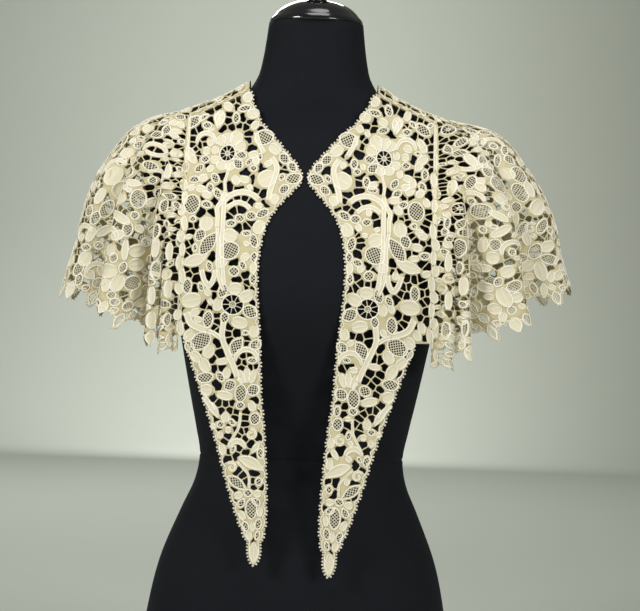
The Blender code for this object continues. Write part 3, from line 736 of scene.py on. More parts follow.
def spiral(x, y, turn, length, width, bend=500.0):
    """A scroll that starts at its radius, length, and winds in to a quarter of it."""
    s = np.linspace(0.0, 1.0, max(12, int(abs(bend) / 22.0)))
    angle = np.radians(turn + bend * s)
    radius = length * (1.0 - 0.78 * s)
    line = np.stack([np.cos(angle), np.sin(angle)], axis=1) * radius[:, None] + (x, y)
    return line, width / 2 * np.clip(1.3 - 0.5 * s, 0.0, 1.0)


def stem(points, width):
    """A smooth line through points, as wide all along."""
    points = np.array(points, float)
    run = np.concatenate([[0.0], np.cumsum(np.hypot(*np.diff(points, axis=0).T))])
    marks = np.linspace(0.0, run[-1], max(3, int(run[-1] / 2.2)))
    line = np.stack([smooth(run, points[:, 0], marks), smooth(run, points[:, 1], marks)], axis=1)
    return line, np.full(len(marks), width / 2)


DRAWN = {"petal": petal, "leaf": leaf, "oval": oval, "arc": arc, "spiral": spiral}


def rim_of(line, half, inset=0.0):
    """The closed outline of a line with a width, drawn in by inset."""
    step = np.gradient(line, axis=0)
    left = np.stack([-step[:, 1], step[:, 0]], axis=1) / np.maximum(np.hypot(*step.T), 1e-9)[:, None]
    keep = half - inset > 0.15
    line, left, half = line[keep], left[keep], (half - inset)[keep]
    return np.concatenate([line + left * half[:, None], (line - left * half[:, None])[::-1]])


# %% [markdown]
# ## Laying lines on the cloth
# A tape's section has a raised cord near each edge, as in needle-made tape lace, where a thick thread is
# sewn along the outline. The section is carried along the line; a closed section and capped ends keep
# each piece watertight. All of a panel's lines are gathered and laid on its chart at once.

# %% Sections and heaps
# Each row is (share of the half width, inset from there, height over the middle of the cloth)
TAPE = np.array([
    (-1.0, 0.0, 0.15),
    (-1.0, 0.0, 0.85),
    (-1.0, 0.4, 1.2),
    (-1.0, 1.0, 0.8),
    (0.0, 0.0, 0.5),
    (1.0, 1.0, 0.8),
    (1.0, 0.4, 1.2),
    (1.0, 0.0, 0.85),
    (1.0, 0.0, 0.15),
])
PETAL = np.array([
    (-1.0, 0.0, 0.15),
    (-1.0, 0.0, 0.95),
    (-1.0, 0.5, 1.4),
    (-1.0, 1.4, 0.65),
    (-0.12, 0.0, 0.6),
    (0.0, 0.0, 0.8),
    (0.12, 0.0, 0.6),
    (1.0, 1.4, 0.65),
    (1.0, 0.5, 1.4),
    (1.0, 0.0, 0.95),
    (1.0, 0.0, 0.15),
])
CORD = np.array([
    (-1.0, 0.0, 0.15),
    (-1.0, 0.0, 0.75),
    (0.0, 0.0, 1.2),
    (1.0, 0.0, 0.75),
    (1.0, 0.0, 0.15),
])
THREAD = np.array([
    (-1.0, 0.0, 0.2),
    (0.0, 0.0, 0.5),
    (1.0, 0.0, 0.2),
    (0.0, 0.0, -0.1),
])


def heap():
    """What is laid on one panel: flat points, heights and faces."""
    return {"flat": [], "height": [], "faces": [], "count": 0}


def swept(pile, line, half, section, closed=False, lift=0.0):
    """A section carried along a line: across is share times half width less inset, height is its own."""
    line = np.asarray(line, float)
    half = np.broadcast_to(half, len(line))
    if closed:
        step = np.roll(line, -1, axis=0) - np.roll(line, 1, axis=0)
    else:
        step = np.gradient(line, axis=0)
    left = np.stack([-step[:, 1], step[:, 0]], axis=1) / np.maximum(np.hypot(*step.T), 1e-9)[:, None]
    share, inset, height = section.T
    across = share * half[:, None] - np.sign(share) * np.minimum(inset, 0.6 * half[:, None] * np.abs(share))
    flat = line[:, None] - left[:, None] * across[..., None]
    rise = np.minimum(1.0, 0.45 + half[:, None] * 0.55) * height + lift
    rows, count = across.shape
    ring = np.arange(count)
    after = (ring + 1) % count
    row = np.arange(rows if closed else rows - 1)[:, None] * count
    ahead = (row + count) % (rows * count)
    quads = np.stack([row + ring, row + after, ahead + after, ahead + ring], axis=-1).reshape(-1, 4)
    faces = (quads + pile["count"]).tolist()
    if not closed:
        faces.append((ring[::-1] + pile["count"]).tolist())
        faces.append((ring + (rows - 1) * count + pile["count"]).tolist())
    pile["flat"].append(flat.reshape(-1, 2))
    pile["height"].append(np.broadcast_to(rise, across.shape).reshape(-1))
    pile["faces"] += faces
    pile["count"] += rows * count


def laid(name, chart, pile, material):
    """A heap made one mesh on its chart, its flat places kept as a UV map in decimetres."""
    flat = np.concatenate(pile["flat"])
    height = np.concatenate(pile["height"])
    points = lay(chart, flat, height) * MM
    faces = pile["faces"]
    if chart["hand"] < 0:
        faces = [face[::-1] for face in faces]
    return meshed(name, points, faces, material, flat * 0.01, height)


def meshed(name, points, faces, material, flat=None, raised=None):
    """Points in metres and faces made a smooth-shaded object that rides on the form."""
    mesh = bpy.data.meshes.new(name)
    mesh.from_pydata(points.tolist(), [], faces)
    mesh.shade_smooth()
    mesh.materials.append(material)
    if flat is not None:
        corner = np.zeros(len(mesh.loops), np.int32)
        mesh.loops.foreach_get("vertex_index", corner)
        layer = mesh.uv_layers.new(name="flat")
        layer.data.foreach_set("uv", flat[corner].astype(np.float32).ravel())
    if raised is not None:
        mesh.attributes.new("raised", "FLOAT", "POINT").data.foreach_set("value", raised.astype(np.float32))
    thing = bpy.data.objects.new(name, mesh)
    bpy.context.scene.collection.objects.link(thing)
    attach(thing, "root")
    return thing


# %% [markdown]
# ## From motifs to tapes, nets and holes
# A solid motif is one swept section. A filled one is a cord round its outline, a hole in the cloth under
# it and fine threads across the hole: crossed lines for net, parallel bars, or spokes for a wheel.

# %% Fillings
NET_PITCH = 2.6
BAR_PITCH = 2.4
THREAD_HALF = 0.44
WHEEL_SPOKES = 9
CORD_HALF = 0.85
HOLE_INSET = 1.5
# The half width from which a motif has a tape's section, a petal's, or a hole with a filling
TAPE_FROM = 1.25
PETAL_FROM = 2.2
HOLLOW_FROM = 2.4


def crossings(ring, turn, pitch):
    """Parallel lines at an angle across a closed ring: the pairs of places where each enters and leaves."""
    along = np.array([math.cos(turn), math.sin(turn)])
    over = np.array([-along[1], along[0]])
    u, v = ring @ along, ring @ over
    pairs = []
    for level in np.arange(math.floor(v.min() / pitch), v.max() / pitch + 1) * pitch + 0.01:
        after_u, after_v = np.roll(u, -1), np.roll(v, -1)
        cut = (v < level) != (after_v < level)
        places = np.sort(u[cut] + (level - v[cut]) / (after_v[cut] - v[cut]) * (after_u[cut] - u[cut]))
        for start, end in zip(places[::2], places[1::2]):
            if end - start > 1.0:
                pairs.append((start * along + level * over, end * along + level * over))
    return pairs


def threads_across(pile, ring, turn, pitch, lift=0.0):
    """Fine threads along the crossing lines, each in a few straight steps so that it follows the cloth."""
    for start, end in crossings(ring, turn, pitch):
        count = max(2, int(np.hypot(*(end - start)) / 3.5) + 1)
        share = np.linspace(0.0, 1.0, count)[:, None]
        swept(pile, start + share * (end - start), THREAD_HALF, THREAD, lift=lift)


def wheel_threads(pile, ring):
    """Spokes at even angles from the middle of a hole to its rim, and a small ring of thread on them."""
    middle = ring.mean(axis=0)
    angles = np.arctan2(*(ring - middle).T[::-1])
    order = np.argsort(angles)
    reach = np.hypot(*(ring - middle).T)
    turn = np.arange(WHEEL_SPOKES) * 2 * math.pi / WHEEL_SPOKES - math.pi
    length = np.interp(turn, angles[order], reach[order], period=2 * math.pi)
    for angle, far in zip(turn, length):
        share = np.array([0.05, 0.5, 1.03])[:, None]
        swept(pile, middle + share * far * (math.cos(angle), math.sin(angle)), THREAD_HALF, THREAD)
    circle = np.linspace(0.0, 2 * math.pi, 13)[:-1]
    circle = middle + 0.3 * reach.mean() * np.stack([np.cos(circle), np.sin(circle)], axis=1)
    swept(pile, circle, 0.6, CORD, closed=True)


def add_motif(panel, line, half, fill="solid", turn=0.0):
    """One motif on a panel: where it lies, what is swept, and the hole under its filling."""
    panel["marks"].append(np.column_stack([line, half]))
    if fill == "solid" or half.max() < HOLLOW_FROM:
        section = PETAL if half.max() > PETAL_FROM else (TAPE if half.max() > TAPE_FROM else CORD)
        swept(panel["tapes"], line, half, section)
        return
    edge = rim_of(line, half, CORD_HALF * 0.9)
    swept(panel["tapes"], edge, CORD_HALF, CORD, closed=True)
    hole = rim_of(line, half, HOLE_INSET)
    if len(hole) < 6:
        return
    panel["holes"].append(hole)
    inner = rim_of(line, half, HOLE_INSET - 0.45)
    if fill == "net":
        threads_across(panel["threads"], inner, turn + 0.8, NET_PITCH)
        threads_across(panel["threads"], inner, turn - 0.8, NET_PITCH, 0.12)
    elif fill == "bars":
        threads_across(panel["threads"], inner, turn + math.pi / 2, BAR_PITCH)
    elif fill == "wheel":
        wheel_threads(panel["threads"], inner)


def new_panel(free, rest, seams):
    """An empty panel: its free edge, its whole outline, and the seams that it carries a tape for."""
    return {
        "free": free,
        "seams": seams,
        "outline": np.concatenate([free, rest]),
        "marks": [],
        "holes": [],
        "tapes": heap(),
        "threads": heap(),
    }


# %% [markdown]
# ## The open ground
# Between the motifs the ground is open: thin bars of thread join them and leave gaps of several
# millimetres. Points in staggered rows are the middles of the gaps. From each, rays run out until they
# meet a motif or come half way to the next gap, and their ends are the corners of a hole in the cloth.

# %% Gaps
FIELD_STEP = 0.5
FIELD_REACH = 8.0
GAP_PITCH = 7.8
GAP_JITTER = 0.22
GAP_ROUNDS = 4
GAP_NEIGHBOURS = 12
GAP_RAYS = 14
GAP_MOST = 7.0
GAP_TO_MOTIF = 0.6
GAP_LEAST_AREA = 4.0
EDGE_HALF = 1.0
BAR_HALF = 0.68


def inside(points, outline):
    """Which points lie inside an outline: a line to the right of each crosses it an odd number of times."""
    x, y = points[:, 0][:, None], points[:, 1][:, None]
    end = np.roll(outline, -1, axis=0)
    spans = (outline[:, 1] > y) != (end[:, 1] > y)
    rise = np.where(end[:, 1] == outline[:, 1], 1.0, end[:, 1] - outline[:, 1])
    crossing = outline[:, 0] + (y - outline[:, 1]) / rise * (end[:, 0] - outline[:, 0])
    return (spans & (x < crossing)).sum(axis=1) % 2 == 1


def staggered(outline, pitch, jitter, seed):
    """Points in staggered rows over an outline, each shifted a little."""
    low, high = outline.min(axis=0), outline.max(axis=0)
    rows = np.arange(low[1] - pitch, high[1] + pitch, pitch * 0.87)
    places = np.arange(low[0] - pitch, high[0] + pitch, pitch)
    x, y = np.meshgrid(places, rows)
    x = x + (np.arange(len(rows)) % 2)[:, None] * pitch / 2
    points = np.stack([x, y], axis=-1).reshape(-1, 2)
    points = points + np.random.default_rng(seed).uniform(-jitter, jitter, points.shape) * pitch
    return points[inside(points, outline)]


def clearance_field(outline, marks):
    """A fine grid over the panel that holds the distance to the nearest motif or edge, up to the reach."""
    low = outline.min(axis=0) - 2.0
    size = ((outline.max(axis=0) + 2.0 - low) / FIELD_STEP).astype(int) + 1
    field = np.full(size, FIELD_REACH)
    edge = spaced(np.concatenate([outline, outline[:1]]), 1.5)
    circles = np.concatenate([np.column_stack([edge, np.full(len(edge), EDGE_HALF * 1.6)])] + marks)
    for x, y, radius in circles:
        first = np.maximum(((x, y) - low - radius - FIELD_REACH) / FIELD_STEP, 0).astype(int)
        last = np.minimum(((x, y) - low + radius + FIELD_REACH) / FIELD_STEP + 1, size).astype(int)
        u = (np.arange(first[0], last[0]) * FIELD_STEP + low[0] - x)[:, None]
        v = np.arange(first[1], last[1]) * FIELD_STEP + low[1] - y
        window = field[first[0]:last[0], first[1]:last[1]]
        np.minimum(window, np.sqrt(u**2 + v**2) - radius, out=window)
    return field, low


def gap_cells(outline, marks, seed):
    """Star-shaped gaps: rays that stop at motifs and half way to the neighbours. Each middle is moved to
    the middle of its own gap and the rays are cast again, so that the gaps share the room evenly."""
    field, low = clearance_field(outline, marks)
    limit = np.array(field.shape) - 1

    def clearance(points):
        """The field's value in the cell of each point."""
        cell = np.clip(((points - low) / FIELD_STEP + 0.5).astype(int), 0, limit)
        return field[cell[..., 0], cell[..., 1]]

    turn = np.arange(GAP_RAYS) * 2 * math.pi / GAP_RAYS
    ahead = np.stack([np.cos(turn), np.sin(turn)], axis=1)
    reach = np.arange(0.0, GAP_MOST + 0.1, 0.25)
    seeds = staggered(outline, GAP_PITCH, GAP_JITTER, seed)
    seeds = seeds[clearance(seeds) > GAP_TO_MOTIF]
    for _ in range(GAP_ROUNDS):
        tree = KDTree(len(seeds))
        for number, (x, y) in enumerate(seeds.tolist()):
            tree.insert((x, y, 0.0), number)
        tree.balance()
        near = np.array([
            [found[1] for found in tree.find_n((x, y, 0.0), GAP_NEIGHBOURS)][1:] for x, y in seeds.tolist()
        ])
        clear = clearance(seeds[:, None, None] + reach[:, None] * ahead[None, :, None]) > GAP_TO_MOTIF
        clear[..., -1] = False
        radius = reach[np.argmin(clear, axis=-1)]
        apart = seeds[near] - seeds[:, None]
        toward = apart @ ahead.T
        squared = (apart**2).sum(axis=-1)[..., None]
        half_way = np.where(toward > 1e-6, squared / (2 * np.maximum(toward, 1e-6)), 99.0)
        radius = np.maximum(np.minimum(radius, half_way.min(axis=1) - BAR_HALF), 0.0)
        corners = radius[..., None] * ahead
        rings = seeds[:, None] + corners
        wedge = radius * np.roll(radius, -1, axis=1)
        moved = ((corners + np.roll(corners, -1, axis=1)) * wedge[..., None]).sum(axis=1) / 3.0
        seeds = seeds + moved / np.maximum(wedge.sum(axis=1), 1e-6)[:, None]
    area = 0.5 * math.sin(2 * math.pi / GAP_RAYS) * wedge.sum(axis=1)
    return rings[(radius.min(axis=1) > 0.3) & (area > GAP_LEAST_AREA)]


# %% [markdown]
# ## The cloth itself
# The cloth is a thin shell: the flat layout is cut into triangles between its outline and its holes, and
# the triangles are laid on the chart twice, as the outer and the inner face, with a rim round every edge.

# %% Cloth
CLOTH_HALF = 0.4
CLOTH_PITCH = 7.0


def cloth(name, chart, panel, gaps, material):
    """The flat layout made one closed shell. Gives the mesh and its flat area in square metres."""
    outline = panel["outline"]
    loops = [outline] + panel["holes"] + list(gaps)
    inner = staggered(outline, CLOTH_PITCH, 0.0, 1)
    rims = [np.column_stack([loop, np.zeros(len(loop))]) for loop in loops[1:]]
    field, low = clearance_field(outline, rims)
    cell = ((inner - low) / FIELD_STEP + 0.5).astype(int)
    inner = inner[field[cell[:, 0], cell[:, 1]] > 1.5]
    points = np.concatenate(loops + [inner])
    edges = []
    first = 0
    for loop in loops:
        edges += [(first + i, first + (i + 1) % len(loop)) for i in range(len(loop))]
        first += len(loop)
    flat, _, faces, _, _, _ = delaunay_2d_cdt([Vector(p) for p in points.tolist()], edges, [], 0, 1e-4)
    flat = np.array([tuple(p) for p in flat])
    faces = np.array(faces)
    middle = flat[faces].mean(axis=1)
    solid = inside(middle, outline)
    for hole in loops[1:]:
        near = np.abs(middle - hole.mean(axis=0)).max(axis=1) < np.abs(hole - hole.mean(axis=0)).max() + 1.0
        spots = np.flatnonzero(near & solid)
        solid[spots[inside(middle[spots], hole)]] = False
    faces = faces[solid]
    corner = flat[faces]
    side_a = corner[:, 1] - corner[:, 0]
    side_b = corner[:, 2] - corner[:, 0]
    doubled = side_a[:, 0] * side_b[:, 1] - side_a[:, 1] * side_b[:, 0]
    faces = np.where((doubled * chart["hand"] < 0)[:, None], faces[:, ::-1], faces)
    used = np.unique(faces)
    number = np.zeros(len(flat), int)
    number[used] = np.arange(len(used))
    faces = number[faces]
    flat = flat[used]
    ends = np.concatenate([faces[:, [0, 1]], faces[:, [1, 2]], faces[:, [2, 0]]])
    code = ends[:, 0] * len(flat) + ends[:, 1]
    rim = ends[~np.isin(code, ends[:, 1] * len(flat) + ends[:, 0])]
    shift = len(flat)
    rim_faces = np.column_stack([rim[:, 1], rim[:, 0], rim[:, 0] + shift, rim[:, 1] + shift])
    whole = faces.tolist() + (faces[:, ::-1] + shift).tolist() + rim_faces.tolist()
    places = np.concatenate([lay(chart, flat, np.full(shift, way * CLOTH_HALF)) for way in (1.0, -1.0)])
    thing = meshed(name, places * MM, whole, material, np.concatenate([flat, flat]) * 0.01)
    return thing, np.abs(doubled).sum() / 2 * MM**2


# %% [markdown]
# ## The dress form
# The form is a stuffed torso covered in dark jersey. Its shell is the level sections drawn again with
# many more sides, so that its outline is round. A shallow groove is sewn round the waist.

# %% Jersey and form
FORM_SIDES = 108
WAIST_SEAM_Z = 250.0
GROOVE_DEPTH = 0.9
GROOVE_HALF = 1.6

jersey, tree, shader = new_material("cotton_jersey_dark_navy")
knit = node(tree, "ShaderNodeUVMap", uv_map="flat")
ribs = node(tree, "ShaderNodeTexWave", {"Vector": knit.outputs["UV"]}, bands_direction="X", Scale=55.0,
            Distortion=1.2, Detail=1.0)
mottle = node(tree, "ShaderNodeTexNoise", {"Vector": knit.outputs["UV"]}, Scale=7.0, Detail=4.0)
shade = node(tree, "ShaderNodeMix", {"Factor": mottle.outputs["Fac"]}, data_type="RGBA")
shade.inputs[6].default_value = linear("#05070d")
shade.inputs[7].default_value = linear("#0b0d15")
tree.links.new(shade.outputs[2], shader.inputs["Base Color"])
bump = node(tree, "ShaderNodeBump", {"Height": ribs.outputs["Fac"]}, Strength=0.25, Distance=0.0004)
tree.links.new(bump.outputs["Normal"], shader.inputs["Normal"])
shader.inputs["Roughness"].default_value = 0.78
shader.inputs["Sheen Weight"].default_value = 0.04
shader.inputs["Specular IOR Level"].default_value = 0.22
shader.inputs["Sheen Roughness"].default_value = 0.4
shader.inputs["Sheen Tint"].default_value = linear("#39404f")


def ringed(name, rings, material, flat):
    """A closed body through level rings of equal count, with a flat face at each end."""
    rows, count = rings.shape[:2]
    i = np.arange(count)
    row = np.arange(rows - 1)[:, None] * count
    after = (i + 1) % count
    quads = np.stack([row + i, row + after, row + count + after, row + count + i], axis=-1)
    faces = quads.reshape(-1, 4).tolist()
    faces.append(i[::-1].tolist())
    faces.append((i + (rows - 1) * count).tolist())
    return meshed(name, rings.reshape(-1, 3) * MM, faces, material, flat)


def form_rings():
    """Level sections: cosine and sine of the turn to the power two over the form's own power, times the
    half sizes; a narrow dip of the half sizes is the waist seam."""
    z = np.unique(np.concatenate([
        np.linspace(0.0, FORM_TOP, 100),
        WAIST_SEAM_Z + np.linspace(-3.0, 3.0, 9),
    ]))
    turn = np.arange(FORM_SIDES) * 2 * math.pi / FORM_SIDES
    across = np.sign(np.cos(turn)) * np.abs(np.cos(turn)) ** (2 / FORM_POWER)
    deep = np.sign(np.sin(turn)) * np.abs(np.sin(turn)) ** (2 / FORM_POWER)
    groove = GROOVE_DEPTH * np.exp(-(((z - WAIST_SEAM_Z) / GROOVE_HALF) ** 2))
    x = (form_size(z, "half_width") - groove)[:, None] * across
    depth = np.where(deep[None] < 0, form_size(z, "front")[:, None], form_size(z, "back")[:, None])
    y = (depth - groove[:, None]) * deep
    rings = np.stack([x, y, np.broadcast_to(z[:, None], x.shape)], axis=-1)
    flat = np.stack([np.broadcast_to(turn, x.shape) * 1.2, rings[..., 2] * 0.01], axis=-1)
    return rings, flat.reshape(-1, 2)


rings, flat = form_rings()
form = ringed("form_jersey", rings, jersey, flat)
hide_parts("dress_form")
print("form:", len(form.data.polygons), "faces")

# %% [markdown]
# ## The neck cap
# A turned, lacquered dome with a knob closes the neck. It is a smooth profile turned about the form's
# axis. The lacquer is a hard clear coat over black, so it mirrors the lights.

# %% Lacquer and cap
CAP_PROFILE = np.array([
    # height, radius
    (731.4, 52.0),
    (734.0, 51.8),
    (740.0, 47.5),
    (746.0, 42.0),
    (752.0, 33.0),
    (756.5, 20.0),
    (758.0, 12.0),
    (764.0, 10.5),
    (770.0, 14.0),
    (778.0, 17.0),
    (786.0, 15.0),
    (791.0, 8.0),
])
CAP_SIDES = 64

lacquer, tree, shader = new_material("black_lacquer")
haze = node(tree, "ShaderNodeTexNoise", {"Vector": node(tree, "ShaderNodeTexCoord").outputs["Object"]},
            Scale=60.0, Detail=3.0)
gloss = node(tree, "ShaderNodeMapRange", {"Value": haze.outputs["Fac"]}, To_Min=0.1, To_Max=0.2)
tree.links.new(gloss.outputs["Result"], shader.inputs["Roughness"])
shader.inputs["Base Color"].default_value = linear("#08080a")
shader.inputs["IOR"].default_value = 1.5
shader.inputs["Coat Weight"].default_value = 0.6
shader.inputs["Coat Roughness"].default_value = 0.06


def cap_rings():
    """The profile by its run of length, smoothed and turned about the axis."""
    run = np.concatenate([[0.0], np.cumsum(np.hypot(*np.diff(CAP_PROFILE, axis=0).T))])
    marks = np.linspace(0.0, run[-1], 60)
    z = smooth(run, CAP_PROFILE[:, 0], marks)
    radius = smooth(run, CAP_PROFILE[:, 1], marks)
    turn = np.arange(CAP_SIDES) * 2 * math.pi / CAP_SIDES
    return np.stack([
        radius[:, None] * np.cos(turn),
        radius[:, None] * np.sin(turn),
        np.broadcast_to(z[:, None], (len(z), CAP_SIDES)),
    ], axis=-1)


cap = ringed("cap_lacquer", cap_rings(), lacquer, None)
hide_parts("neck_cap")
print("cap:", len(cap.data.polygons), "faces")

# %% [markdown]
# ## Lace thread
# The lace is ivory cotton, matt and slightly fuzzy. Three finishes share it: the woven cloth of the
# tapes, painted darker as shade, the raised cords and petals, which catch more light and are painted
# lighter as a highlight, and the fine threads of the nets.

# %% Lace materials
def lace_material(name, low, high, weave_mm, bump_mm, painted_hollow_shade):
    """Ivory cotton: a slow change of tone between two colours, painted darker as shade where the lace lies
    low, in the hollows beside the raised cords, and crossed ribs as wide as the weave."""
    made, tree, shader = new_material(name)
    flat = node(tree, "ShaderNodeUVMap", uv_map="flat").outputs["UV"]
    tone = node(tree, "ShaderNodeTexNoise", {"Vector": flat}, Scale=2.2, Detail=5.0, Roughness=0.6)
    mixed = node(tree, "ShaderNodeMix", {"Factor": tone.outputs["Fac"]}, data_type="RGBA")
    mixed.inputs[6].default_value = linear(low)
    mixed.inputs[7].default_value = linear(high)
    # Painted shade: the height over the cloth picks between the darker colour and the tone, so low places are
    # painted darker.
    raised = node(tree, "ShaderNodeAttribute", attribute_name="raised")
    share = node(tree, "ShaderNodeMapRange", {"Value": raised.outputs["Fac"]}, From_Min=0.4, From_Max=1.1)
    shaded = node(tree, "ShaderNodeMix", {"Factor": share.outputs["Result"]}, data_type="RGBA")
    shaded.inputs[6].default_value = linear(painted_hollow_shade)
    tree.links.new(mixed.outputs[2], shaded.inputs[7])
    tree.links.new(shaded.outputs[2], shader.inputs["Base Color"])
    # The map is in decimetres, and a wave texture at scale one repeats about every third of a unit
    ribs = {"Scale": 100.0 / weave_mm / (2 * math.pi) * 2.0, "Distortion": 0.6}
    warp = node(tree, "ShaderNodeTexWave", {"Vector": flat}, bands_direction="X", **ribs)
    weft = node(tree, "ShaderNodeTexWave", {"Vector": flat}, bands_direction="Y", **ribs)
    both = node(tree, "ShaderNodeMath", {"Value": warp.outputs["Fac"]}, operation="MULTIPLY")
    tree.links.new(weft.outputs["Fac"], both.inputs[1])
    woven = {"Height": both.outputs["Value"]}
    relief = node(tree, "ShaderNodeBump", woven, Strength=0.6, Distance=bump_mm * MM)
    tree.links.new(relief.outputs["Normal"], shader.inputs["Normal"])
    shader.inputs["Roughness"].default_value = 0.85
    shader.inputs["Sheen Weight"].default_value = 0.15
    shader.inputs["Sheen Roughness"].default_value = 0.5
    return made


# Painted shade and highlight: one cotton in three copies, the cloth's darker and the cords' lighter, as if
# lit less and more.
CLOTH_IVORY_PAINTED_SHADE = lace_material("ivory_cotton_tape_woven_painted_shade", "#d9cfac", "#e4dabb", 1.1, 0.25, "#cdc199")
CORD_IVORY_PAINTED_HIGHLIGHT = lace_material("ivory_cotton_cord_raised_painted_highlight", "#f3eddb", "#fefaec", 0.8, 0.2, "#d5caa6")
NET_IVORY = lace_material("ivory_cotton_thread_net", "#e9e3cb", "#f3edd7", 0.8, 0.1, "#e0d8bd")
print("lace finishes: 3")

# %% [markdown]
# ## The fronts
# Each front is drawn once, as (away from the closure, height), and laid on both sides. It has a large
# wheel flower below the shoulder, a lily and curved leaves over the bust, a second wheel flower, and a
# stem that runs down the pointed lappet between leaves, scrolls and small flowers. The places, turns and
# sizes in the table were read from the photograph, and the shapes are the plain ones drawn above.

